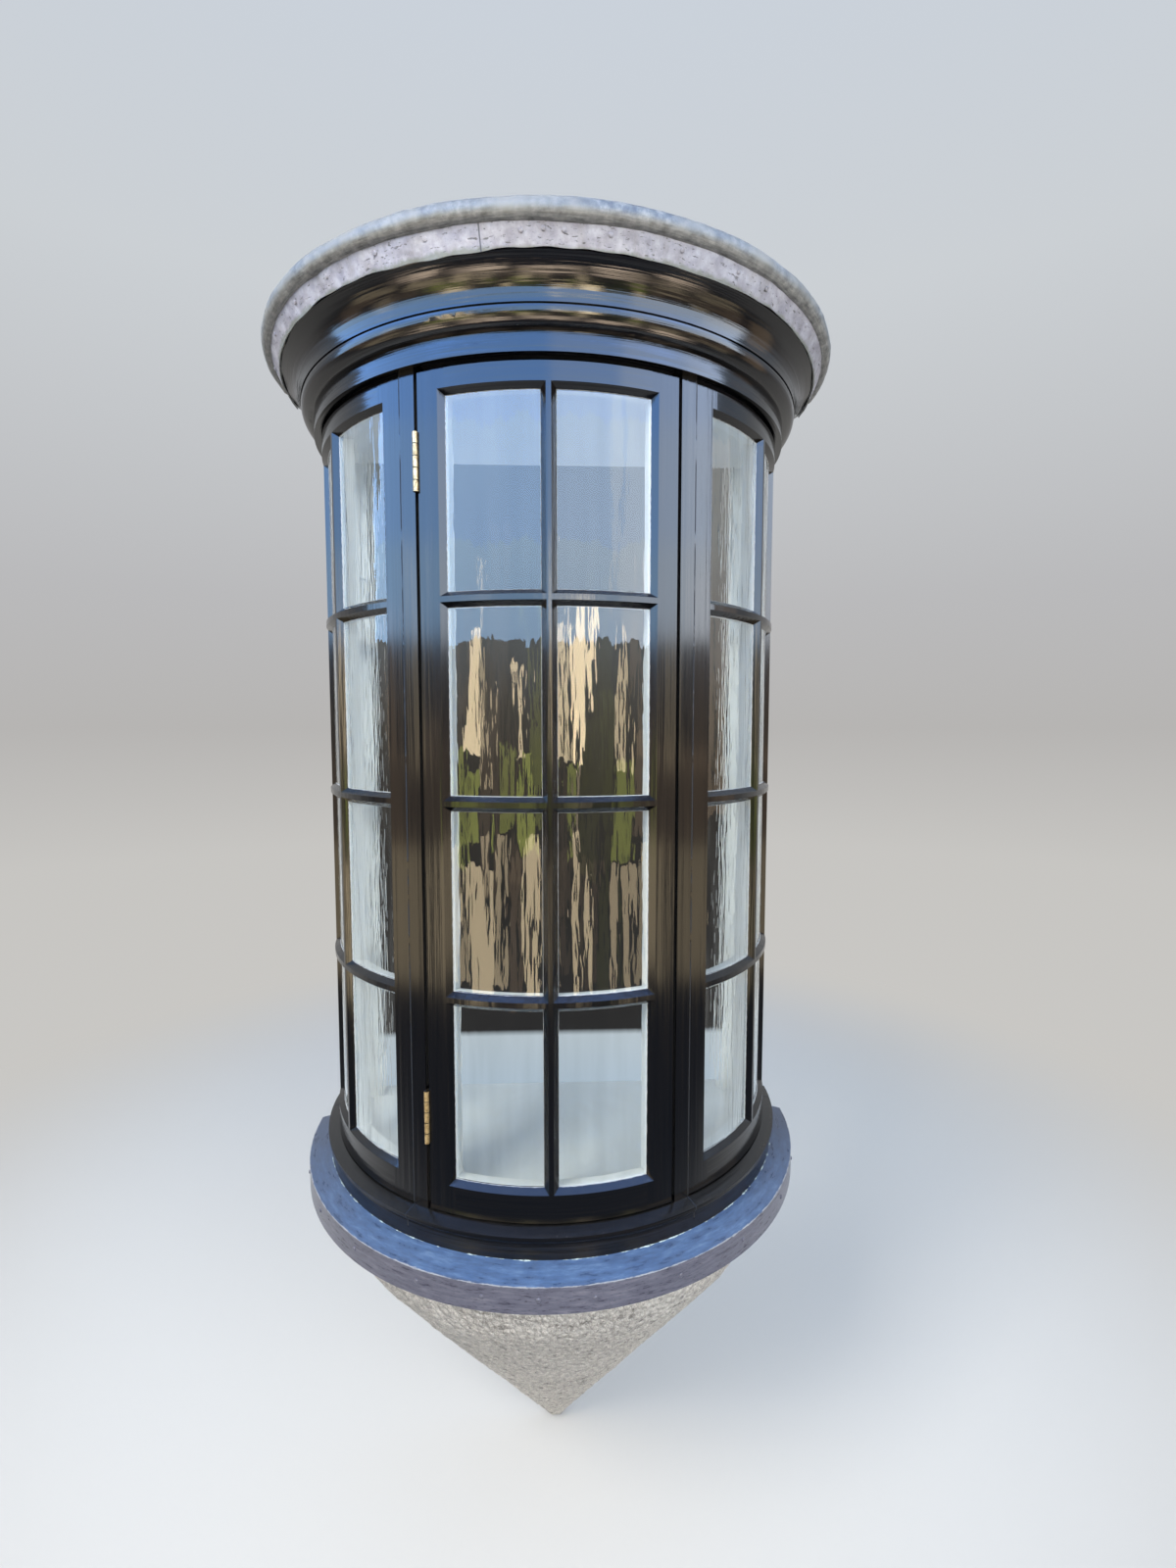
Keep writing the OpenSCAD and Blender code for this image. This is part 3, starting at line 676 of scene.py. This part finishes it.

# %% [markdown]
# Where sheet lead faces the sky it has a dark grey skin with a dull bloom. What faces down keeps a
# paler, slightly brown skin with scratches along the roll. Dressing with a wooden tool leaves
# shallow flats. The facing direction of the surface chooses between the two skins. Their tones are
# partly weathering and partly painted light and shade, set against how the lamps light the top
# and the underside of the roll.

# %% Weathered lead with painted light
roof_lead, tree, shader = start_finish("weathered lead with painted light")
place = on_piece(tree)
mottle = noise(tree, place, 60.0, 5.0, 0.65)
flats = noise(tree, place, 24.0, 1.0)
clouds = noise(tree, place, 9.0, 4.0, 0.6)
upper_skin_and_painted_light = ramp(tree, mottle, (0.36, (0.07, 0.08, 0.09)), (0.50, (0.14, 0.155, 0.165)),
    (0.64, (0.25, 0.265, 0.265)))
bloom = blend(tree, spread(tree, clouds, 0.45, 0.68), upper_skin_and_painted_light, (0.22, 0.22, 0.20))
scratches = streaky(tree, unrolled(tree), (38.0, 300.0, 300.0), 4.0, 0.65)
scored = times(tree, scratches, 0.5, times(tree, mottle, 0.5))
under_skin_and_painted_light = ramp(tree, scored, (0.38, (0.08, 0.082, 0.075)), (0.50, (0.19, 0.188, 0.18)),
    (0.64, (0.34, 0.335, 0.30)))
# Facing up or down picks the skin, so this split is partly painted light and shade.
facing = apart(tree, add(tree, "NewGeometry").outputs["Normal"])["Z"]
wobble = times(tree, clouds, 0.8, maths(tree, "ADD", facing, -0.4))
share = spread(tree, wobble, -0.10, -0.80, kind="SMOOTHSTEP")
give(tree, shader, blend(tree, share, bloom, under_skin_and_painted_light),
    times(tree, mottle, 0.3, 0.36),
    times(tree, mottle, 0.25, flats), 0.0028)
print(roof_lead.name)

# %% [markdown]
# The apron hangs sheltered under the roll, so it has kept a pale, slightly pink skin with small
# dark pits, brown runs below the nails, one lap seam and a greenish drip edge.

# %% Apron lead
SEAM_TURN = -10.0
apron_lead, tree, shader = start_finish("pale apron lead")
worn = use_group(tree, weather, Streaks=70.0)
parts = unrolled(tree)
place = on_piece(tree)
pale = ramp(tree, noise(tree, place, 40.0, 5.0, 0.65), (0.34, (0.22, 0.21, 0.24)),
    (0.52, (0.33, 0.32, 0.355)), (0.68, (0.45, 0.44, 0.48)))
runs = blend(tree, worn["Runs"], pale, (0.19, 0.17, 0.14), 0.3)
dashes = streaky(tree, parts, (110.0, 260.0, 260.0), 3.0, 0.6)
specks = spread(tree, dashes, 0.60, 0.67)
pitted = blend(tree, specks, runs, (0.07, 0.062, 0.055), 0.85)
edge = times(tree, noise(tree, place, 45.0, 3.0, 0.6), 0.016, parts[2])
drip = spread(tree, edge, APRON_Z + 0.014, APRON_Z + 0.009)
green = blend(tree, drip, pitted, (0.13, 0.14, 0.10), 0.75)
from_seam = maths(tree, "SUBTRACT", parts[0], math.radians(SEAM_TURN) * BAY_R)
seam = spread(tree, maths(tree, "ABSOLUTE", from_seam), 0.0014, 0.0006)
give(tree, shader, blend(tree, seam, green, (0.03, 0.03, 0.035), 0.85), None,
    times(tree, specks, -0.06, noise(tree, place, 30.0, 1.0)), 0.004)
print(apron_lead.name)

# %% [markdown]
# The projecting sill is dressed in lead and painted slate blue. Its upper face is bluer and glossy
# in places, partly the paint and partly a painted reflection of the sky, its rounded front is a
# scratched mauve, and both ends are duller, a painted loss of that reflection. The paint has
# chipped along the upper edge, where the pale undercoat shows in a broken line.

# %% Painted lead sill
LEAD_R = SILL_R + 0.002
LEAD_TOP_Z = SILL_BED_Z + 0.049
sill_lead_paint, tree, shader = start_finish("slate blue paint on lead")
worn = use_group(tree, weather, Streaks=30.0)
marks = use_group(tree, brush_marks, Ridges_along=6.0, Ridges_up=260.0)
parts = unrolled(tree)
scuff = streaky(tree, parts, (24.0, 90.0, 150.0), 5.0, 0.65)
# The blue of the upper face is partly paint and partly a painted sky reflection.
blue = ramp(tree, scuff, (0.30, (0.034, 0.062, 0.135)), (0.54, (0.060, 0.116, 0.240)),
    (0.80, (0.15, 0.24, 0.38)))
# Towards both ends the blue dulls: a painted loss of sky reflection.
ends = spread(tree, maths(tree, "ABSOLUTE", parts[0]), 0.36, 0.74, highest=0.8)
blue = blend(tree, ends, blue, (0.052, 0.068, 0.108))
mauve = ramp(tree, scuff, (0.30, (0.072, 0.070, 0.094)), (0.54, (0.118, 0.117, 0.150)),
    (0.78, (0.20, 0.19, 0.22)))
nick = streaky(tree, parts, (110.0, 500.0, 620.0), 3.0, 0.6)
front = blend(tree, spread(tree, nick, 0.59, 0.66, highest=0.8), mauve, (0.030, 0.028, 0.040))
top = spread(tree, parts[2], LEAD_TOP_Z - 0.001, LEAD_TOP_Z + 0.0005)
coat = blend(tree, top, front, blue)
dusted = blend(tree, worn["Dust"], coat, (0.26, 0.29, 0.34), 0.14)
section = add(tree, "CombineXYZ", {"X": parts[1], "Y": parts[2]})
off_edge = add(tree, "VectorMath", {0: section, 1: (LEAD_R, LEAD_TOP_Z, 0.0)},
    operation="DISTANCE").outputs["Value"]
nibble = streaky(tree, parts, (70.0, 260.0, 260.0), 4.0, 0.7)
worn_edge = times(tree, nibble, 0.0085, -0.0031)
chipped = spread(tree, maths(tree, "SUBTRACT", worn_edge, off_edge), -0.0004, 0.0006)
give(tree, shader, blend(tree, chipped, dusted, (0.33, 0.34, 0.37)),
    times(tree, scuff, 0.3, 0.16), marks["Height"], 0.00018)
print(sill_lead_paint.name)

# %% [markdown]
# The stone under that lead shows only from below and on the wall side: a grey, slightly pitted
# cast sill.

# %% Sill stone
sill_stone, tree, shader = start_finish("grey sill stone", roughness=0.85)
parts = unrolled(tree)
grit = streaky(tree, parts, (260.0, 260.0, 260.0), 4.0, 0.7)
stain = streaky(tree, parts, (16.0, 16.0, 16.0), 4.0, 0.6)
stone = blend(tree, stain, (0.25, 0.25, 0.25), (0.40, 0.39, 0.37))
give(tree, shader, blend(tree, grit, stone, (0.16, 0.16, 0.16), 0.5), None, grit, 0.0012)
print(sill_stone.name)

# %% [markdown]
# The corbel is plastered in roughcast: wet mortar with small stones thrown on by hand. Its colour
# is a warm beige grey, with painted shade darkening the hollows between pale knobs.

# %% Roughcast
roughcast, tree, shader = start_finish("roughcast", roughness=0.92)
place = on_piece(tree)
stones = add(tree, "TexVoronoi", {"Vector": place, "Scale": 88.0, "Randomness": 1.0})
lumps = noise(tree, place, 58.0, 5.0, 0.65)
sand = noise(tree, place, 420.0, 2.0, 0.6)
stain = noise(tree, place, 6.0, 5.0, 0.62)
warm = ramp(tree, stain, (0.30, (0.39, 0.340, 0.285)), (0.52, (0.55, 0.495, 0.430)),
    (0.72, (0.68, 0.625, 0.55)))
grain = blend(tree, spread(tree, sand, 0.40, 0.62), warm, (0.82, 0.77, 0.69))
knob = spread(tree, stones.outputs["Distance"], 0.25, 0.75)
pits = spread(tree, lumps, 0.34, 0.47, 1.0, 0.0)
# Painted shade: the colour darkens in the pits and between the knobs, where the surface is low.
hollow_shade = maths(tree, "MAXIMUM", pits, times(tree, knob, 0.45))
coarse = times(tree, knob, -0.35, lumps)
give(tree, shader, blend(tree, hollow_shade, grain, (0.12, 0.105, 0.09), 0.75), None,
    times(tree, sand, 0.15, coarse), 0.015)
print(roughcast.name)

# %% [markdown]
# Brass hinges and fittings have dulled to blotches of brown with bright metal between them. The
# joints between the five knuckles of each hinge are dark slits.

# %% Brass
HALF_WAY_Z = 1.0
KNUCKLES_FROM_R = 0.480
brass, tree, shader = start_finish("dulled brass", roughness=0.3, metallic=0.45)
tarnish = noise(tree, on_piece(tree), 160.0, 4.0, 0.65)
metal = ramp(tree, tarnish, (0.32, (0.18, 0.11, 0.04)), (0.52, (0.50, 0.35, 0.16)),
    (0.75, (0.70, 0.54, 0.30)))
parts = unrolled(tree)
upper = maths(tree, "GREATER_THAN", parts[2], HALF_WAY_Z)
hinge_foot = times(tree, upper, HINGE_HIGH_Z - HINGE_LOW_Z,
    HINGE_LOW_Z - HINGE_L / 2)
to_joint = maths(tree, "PINGPONG", maths(tree, "SUBTRACT", parts[2], hinge_foot),
    HINGE_L / KNUCKLES / 2)
slit = spread(tree, to_joint, 0.0005, 0.0011, 1.0, 0.0)
outside = maths(tree, "GREATER_THAN", parts[1], KNUCKLES_FROM_R)
jointed = blend(tree, times(tree, slit, outside), metal, (0.02, 0.015, 0.01))
give(tree, shader, jointed, times(tree, tarnish, -0.3, 0.45), tarnish, 0.0002)
print(brass.name)

# %% [markdown]
# The sealant is a pale, slightly green mastic that has gathered dirt.

# %% Sealant finish
sealant, tree, shader = start_finish("grubby sealant", roughness=0.6)
grime = noise(tree, on_piece(tree), 190.0, 4.0, 0.65)
pale_green = ramp(tree, grime, (0.36, (0.08, 0.10, 0.10)), (0.48, (0.32, 0.40, 0.40)),
    (0.62, (0.52, 0.61, 0.58)))
give(tree, shader, pale_green, None, grime, 0.0006)
print(sealant.name)

# %% [markdown]
# The roof boards show only at the wall. They are bare softwood with lines of grain.

# %% Bare timber
bare_timber, tree, shader = start_finish("bare softwood", roughness=0.7)
rings, wood = wood_grain(tree, (5.0, 40.0, 150.0), 0.6, (0.24, 0.155, 0.090),
    (0.38, 0.270, 0.165), (0.48, 0.36, 0.235))
give(tree, shader, wood, None, rings, 0.0003)
print(bare_timber.name)

# %% [markdown]
# Everything new on this window follows its round plan, so it starts as half a circle. The circle
# is added at the size and height where the piece begins, and its rear half is cut away at the
# wall. Each next ring is extruded from the last one and then scaled towards the axis and lifted,
# which is how the outline is walked round a turned piece.

# %% Half rings
MERGE = 0.00002


def half_ring(name, steps, radius, height):
    bpy.ops.object.select_all(action="DESELECT")
    bpy.ops.mesh.primitive_circle_add(vertices=2 * steps, radius=radius, location=(0, 0, height))
    piece = bpy.context.object
    piece.name = piece.data.name = name
    bpy.ops.object.transform_apply()
    bpy.ops.object.mode_set(mode="EDIT")
    bpy.ops.mesh.select_all(action="SELECT")
    bpy.ops.mesh.bisect(plane_co=(0, 0, 0), plane_no=(0, 1, 0), clear_outer=True,
        threshold=0.000001)
    bpy.ops.mesh.select_all(action="SELECT")
    return piece


def walk(outline):
    for (radius, height), (next_radius, next_height) in zip(outline, outline[1:]):
        bpy.ops.mesh.extrude_edges_move()
        factor = next_radius / radius
        bpy.ops.transform.resize(value=(factor, factor, 1), center_override=(0, 0, 0))
        bpy.ops.transform.translate(value=(0, 0, next_height - height))


def shell(name, steps, outline):
    piece = half_ring(name, steps, *outline[0])
    walk(outline)
    bpy.ops.mesh.select_all(action="SELECT")
    bpy.ops.mesh.remove_doubles(threshold=MERGE)
    return piece


print("half rings end at the wall")

# %% [markdown]
# Operators act on what is selected, and here it is selected in code: a piece by itself, or those
# of its points, edges or faces that pass a test.

# %% Helpers that select
def use(piece, mode="OBJECT"):
    if bpy.context.object and bpy.context.object.mode == "EDIT":
        bpy.ops.object.mode_set(mode="OBJECT")
    bpy.ops.object.select_all(action="DESELECT")
    piece.select_set(True)
    bpy.context.view_layer.objects.active = piece
    if mode == "EDIT":
        bpy.ops.object.mode_set(mode="EDIT")


def pick(piece, kind, test):
    bpy.ops.object.mode_set(mode="OBJECT")
    mesh = piece.data
    for part in (*mesh.vertices, *mesh.edges, *mesh.polygons):
        part.select = False
    chosen = [part for part in getattr(mesh, kind) if test(part)]
    for part in chosen:
        part.select = True
    bpy.ops.object.mode_set(mode="EDIT")
    modes = {"vertices": "VERT", "edges": "EDGE", "polygons": "FACE"}
    bpy.ops.mesh.select_mode(type=modes[kind])
    return len(chosen)


print("pieces and their parts can be picked")

# %% [markdown]
# Loose forms get their unevenness from a Displace modifier with a soft noise, which is then
# applied. At the wall and at the axis, points are drawn together, so that the mesh is closed.

# %% Helpers that shape a mesh
def uneven(piece, size, depth, middle=0.5, group=""):
    use(piece)
    cloud = bpy.data.textures.new(piece.name + " cloud", "CLOUDS")
    cloud.noise_scale = size
    cloud.noise_depth = 2
    change = piece.modifiers.new("uneven", "DISPLACE")
    change.texture = cloud
    change.texture_coords = "LOCAL"
    change.strength = depth
    change.mid_level = middle
    change.vertex_group = group
    bpy.ops.object.modifier_apply(modifier=change.name)


def draw_in(x, y):
    bpy.ops.transform.resize(value=(x, y, 1), center_override=(0, 0, 0))


def close_at_wall(piece):
    use(piece, "EDIT")
    bpy.ops.mesh.select_mode(type="EDGE")
    bpy.ops.mesh.select_all(action="DESELECT")
    bpy.ops.mesh.select_non_manifold(extend=False)
    draw_in(1, 0)
    bpy.ops.mesh.edge_face_add()


def close_at_axis(piece, heights, radius, margin):
    for height in heights:
        pick(piece, "vertices", lambda v: math.hypot(v.co.x, v.co.y) < radius
            and abs(v.co.z - height) < margin)
        draw_in(0, 0)
    bpy.ops.mesh.select_all(action="SELECT")
    bpy.ops.mesh.remove_doubles(threshold=MERGE)


print("mesh helpers ready")

# %% [markdown]
# A finished mesh has faces that point outwards, smooth shading with its sharp edges kept, its
# material, and a place in the frame: the body it rides on.

# %% A helper that finishes a piece
def finish_mesh(piece, material, angle=40.0):
    use(piece, "EDIT")
    bpy.ops.mesh.select_all(action="SELECT")
    bpy.ops.mesh.normals_make_consistent(inside=False)
    bpy.ops.object.mode_set(mode="OBJECT")
    bpy.ops.object.shade_smooth_by_angle(angle=math.radians(angle))
    piece.data.materials.clear()
    piece.data.materials.append(material)
    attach(piece, "root")
    size = [round(length, 4) for length in piece.dimensions]
    print(piece.name, "faces", len(piece.data.polygons), "size", size)


print("pieces can be finished")

# %% [markdown]
# The apron is a strip of lead nailed round the edge of the roof boards. It leans out to meet the
# roll. Its lower edge was trimmed by hand and hangs in slow waves of a few millimetres. A strip
# of six rows is made first. Then points on its lower edge are pulled up or down, and
# proportional editing lets the lead near them follow. The rises are in millimetres, at angles
# from the centre line.

# %% The apron's strip and its hanging edge
rows = 6
outline = [(APRON_R + APRON_LEAN * row / rows, APRON_Z + (ROOF_Z - APRON_Z) * row / rows)
    for row in range(rows + 1)]
apron = shell("apron_sheet", 360, outline)
rises = {-84: 2, -78: -1, -72: 2, -66: 0, -60: -2.5, -54: -1, -48: -2, -42: 3, -36: 1.5, -30: 2,
    -24: -2, -18: -3.5, -12: -2, -6: 3, 0: 4, 6: 3, 12: 2.5, 18: 1, 24: -1, 30: -0.5, 36: 1,
    42: 2.5, 48: 1.5, 54: -1.5, 60: -0.5, 66: 1.5, 72: -1, 78: 1, 84: -1.5}
for turn, rise in rises.items():
    a = math.radians(turn)
    spot = (APRON_R * math.sin(a), -APRON_R * math.cos(a))
    found = pick(apron, "vertices", lambda v: math.dist(v.co[:2], spot) < 0.001
        and v.co.z < APRON_Z + 0.006)
    bpy.ops.transform.translate(value=(0, 0, rise * 0.001), use_proportional_edit=True,
        proportional_edit_falloff="SMOOTH", proportional_size=0.045)
print("pulled", len(rises), "points, the last with", found, "vertex")

# %% [markdown]
# Two displacements dent the strip, a Solidify modifier gives it the thickness of sheet lead, and
# its cut ends are set flush with the wall.

# %% Lead apron
LEAD_T = 0.0026
use(apron)
uneven(apron, 0.05, 0.0022, 0.2)
uneven(apron, 0.009, 0.0008, 0.5)
wall = apron.modifiers.new("sheet", "SOLIDIFY")
wall.thickness = LEAD_T
wall.offset = -1.0
bpy.ops.object.modifier_apply(modifier=wall.name)
pick(apron, "vertices", lambda v: v.co.y > -0.0015)
draw_in(1, 0)
finish_mesh(apron, apron_lead)
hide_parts("lead_apron")

# %% [markdown]
# The roof is sheet lead over boards, dressed round a wooden roll at its edge. The outline runs
# from the axis down the gentle fall, round the roll and back under the boards. Two cloud
# displacements then give the shallow dents of a wooden mallet. The roll is a little thinner than
# in the solid model, so that the dents stay inside its size.

# %% Lead roof
ROLL_R, ROLL_Z, ROLL_T = 0.592, 1.865, 0.0158
BOARDS_R, CREST_Z, FALL = 0.577, 1.8857, 0.0157
AXIS_R = 0.004
fall = [(r, CREST_Z - FALL * r / BOARDS_R)
    for r in (AXIS_R, *[0.03 + 0.547 * n / 24 for n in range(25)])]
curl = [(ROLL_R + ROLL_T * math.cos(math.radians(a)), ROLL_Z + ROLL_T * math.sin(math.radians(a)))
    for a in range(152, -118, -9)]
under = [(ROLL_R - 0.0074, ROOF_Z), (AXIS_R, ROOF_Z)]
roof = shell("roof_sheet", 300, fall + curl + under)
close_at_axis(roof, (fall[0][1], ROOF_Z), 0.005, 0.001)
bpy.ops.object.mode_set(mode="OBJECT")
loose = roof.vertex_groups.new(name="loose")
loose.add([v.index for v in roof.data.vertices
    if v.co.z > ROOF_Z + 0.0005 or math.hypot(v.co.x, v.co.y) > 0.588], 1.0, "REPLACE")
uneven(roof, 0.11, 0.0036, 0.5, "loose")
uneven(roof, 0.022, 0.0012, 0.5, "loose")
close_at_wall(roof)
finish_mesh(roof, roof_lead)
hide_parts("lead_roof")

# %% [markdown]
# The corbel is a masonry half cone under a short drum, plastered with roughcast. The solid has
# smooth faces, so it is replaced by one with the same outline in many rows, which two noises
# push inwards: slow hollows of the trowel and the knobs of the mortar. The mortar also softens
# the knee between drum and cone. Only the finest grain is left to the material. The part above
# the drum is hidden in the sill, so it stays plain.

# %% Roughcast corbel
TIP_R = 0.040
TIP_Z = -CONE_H + 0.0008
KNEE = 0.055
CONE_ROWS = 140
CORE_R, CORE_TOP_Z = 0.410, 0.209
POLE_R = 0.0012
slope = math.atan(CORBEL_R / CONE_H)
tip = [(TIP_R * math.cos(a), TIP_R * (1 - math.sin(a)) + TIP_Z)
    for a in (slope + (math.pi / 2 - slope) * n / 12 for n in range(12))] + [(POLE_R, TIP_Z)]
way = math.dist(tip[0], (CORBEL_R, 0.0))
knee_end = (CORBEL_R + (tip[0][0] - CORBEL_R) * KNEE / way, tip[0][1] * KNEE / way)
drum = [(CORBEL_R, SILL_BED_Z - (SILL_BED_Z - KNEE) * n / 9) for n in range(10)]
knee = [((1 - t * t) * CORBEL_R + t * t * knee_end[0], (1 - t) ** 2 * KNEE + t * t * knee_end[1])
    for t in (n / 18 for n in range(1, 18))]
cone = [(knee_end[0] + (tip[0][0] - knee_end[0]) * n / CONE_ROWS,
    knee_end[1] + (tip[0][1] - knee_end[1]) * n / CONE_ROWS) for n in range(CONE_ROWS)]
core = [(POLE_R, CORE_TOP_Z), (CORE_R, CORE_TOP_Z), (CORE_R, SILL_BED_Z)]
corbel = shell("roughcast_corbel", 300, core + drum + knee + cone + tip)
close_at_axis(corbel, (CORE_TOP_Z, TIP_Z), 0.0015, 0.0002)
bpy.ops.mesh.normals_make_consistent(inside=False)
bpy.ops.object.mode_set(mode="OBJECT")
rendered = corbel.vertex_groups.new(name="rendered")
rendered.add([v.index for v in corbel.data.vertices if v.co.z < SILL_BED_Z - 0.002], 1.0, "REPLACE")
uneven(corbel, 0.12, 0.006, 0.6, "rendered")
uneven(corbel, 0.012, 0.0042, 0.8, "rendered")
close_at_wall(corbel)
finish_mesh(corbel, roughcast, 60.0)
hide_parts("corbel")

# %% [markdown]
# Where the black sill stands on the lead, a bead of sealant was run and smeared with a finger.
# It is a small quarter-round ring with a ragged edge.

# %% Sealant
BEAD_Z = SILL_TOP_Z - 0.001
profile = [(NOSE_R, BEAD_Z), (NOSE_R + 0.0030, BEAD_Z + 0.0002), (NOSE_R + 0.0024, BEAD_Z + 0.0016),
    (NOSE_R + 0.0008, BEAD_Z + 0.0030), (NOSE_R, BEAD_Z + 0.0034), (NOSE_R, BEAD_Z)]
bead = shell("sealant_bead", 360, profile)
uneven(bead, 0.013, 0.0034, 0.62)
close_at_wall(bead)
finish_mesh(bead, sealant)

# %% [markdown]
# Clout nails hold the apron and the lead on the sill. One head is made: a flat disc whose face is
# inset and pushed out to a low dome. It is copied to each place, turned round the axis, and every
# copy gets its own mesh.

# %% Nail heads
def nail_head(name, radius, height, reach, lean=0.0):
    bpy.ops.object.select_all(action="DESELECT")
    bpy.ops.mesh.primitive_cylinder_add(vertices=14, radius=radius, depth=0.0016,
        location=(0, -reach - 0.0006, height), rotation=(math.pi / 2 + lean, 0, 0))
    head = bpy.context.object
    head.name = head.data.name = name
    bpy.ops.object.transform_apply()
    for inset, rise in ((0.24, 0.0007), (0.3, 0.0004)):
        pick(head, "polygons", lambda face: face.normal.y < -0.85)
        bpy.ops.mesh.inset(thickness=radius * inset)
        bpy.ops.transform.translate(value=(0, -rise * math.cos(lean), -rise * math.sin(lean)))
    bpy.ops.object.mode_set(mode="OBJECT")
    return head


def nail_ring(first, places, material):
    for number, (turn, rise) in enumerate(places, 1):
        use(first)
        bpy.ops.object.duplicate()
        twin = bpy.context.object
        twin.name = twin.data.name = f"{first.name}_{number}"
        bpy.ops.transform.rotate(value=-math.radians(turn), orient_axis="Z",
            center_override=(0, 0, 0))
        bpy.ops.transform.translate(value=(0, 0, rise))
        bpy.ops.object.transform_apply()
        finish_mesh(twin, material, 50.0)
    bpy.data.objects.remove(first)


print("nails can be set in a ring")

# %% [markdown]
# The nails sit where a hand put them: the spacing is uneven, and so is the line. Each place is an
# angle from the centre line and a shift up or down.

# %% Nails in the apron and in the sill
apron_tilt = math.atan2(APRON_LEAN, ROOF_Z - APRON_Z)
apron_face = APRON_R + APRON_LEAN * 0.65 + 0.0008
apron_places = [(-76, 0.000), (-62, 0.001), (-49, -0.001), (-38.5, 0.000), (-27.5, 0.001),
    (-18.5, 0.0005), (-3.8, -0.0005), (-0.5, 0.002), (2.5, 0.0006), (9.5, 0.000), (21, -0.0004),
    (32, 0.000), (39, -0.0014), (54, 0.0006), (69, -0.001)]
sill_places = [(-71, 0.000), (-56, 0.001), (-41, 0.000), (-25, 0.001), (-12.3, 0.000),
    (-2.3, 0.0004), (7.7, -0.0014), (24, 0.000), (40, 0.001), (57, -0.001), (72, 0.000)]
nail_ring(nail_head("apron_nail", 0.0038, 1.8397, apron_face, apron_tilt), apron_places,
    apron_lead)
nail_ring(nail_head("sill_nail", 0.0040, 0.126, LEAD_R), sill_places,
    sill_lead_paint)

# %% [markdown]
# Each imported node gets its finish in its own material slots. Its mesh and place stay as they are.

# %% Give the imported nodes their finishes
finishes = {
    sash_upright_paint: ["casement_hinge_stile", "casement_lock_stile", "casement_bars",
        "left_light_stiles", "right_light_stiles", "left_light_bars", "right_light_bars"],
    sash_rail_paint: ["casement_top_rail", "casement_bottom_rail", "left_light_top_rail",
        "left_light_bottom_rail", "right_light_top_rail", "right_light_bottom_rail"],
    frame_upright_paint: ["mullion_left", "mullion_right", "wall_post_left", "wall_post_right"],
    frame_rail_paint: ["frame_sill", "frame_head", "frieze", "bed_moulding", "crown_moulding"],
    white_paint: ["window_board", "ceiling_board"],
    glass: ["casement_glass", "left_light_glass", "right_light_glass"],
    roof_lead: ["lead_roof"],
    apron_lead: ["lead_apron"],
    sill_lead_paint: ["sill_lead"],
    sill_stone: ["projecting_sill"],
    roughcast: ["corbel"],
    brass: ["hinge_upper", "hinge_lower", "casement_fastener", "casement_stay", "stay_pegs"],
    bare_timber: ["roof_deck"],
}
for finish_material, nodes in finishes.items():
    for node in nodes:
        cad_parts[node].data.materials.clear()
        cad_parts[node].data.materials.append(finish_material)
print("finished nodes", sum(len(nodes) for nodes in finishes.values()))
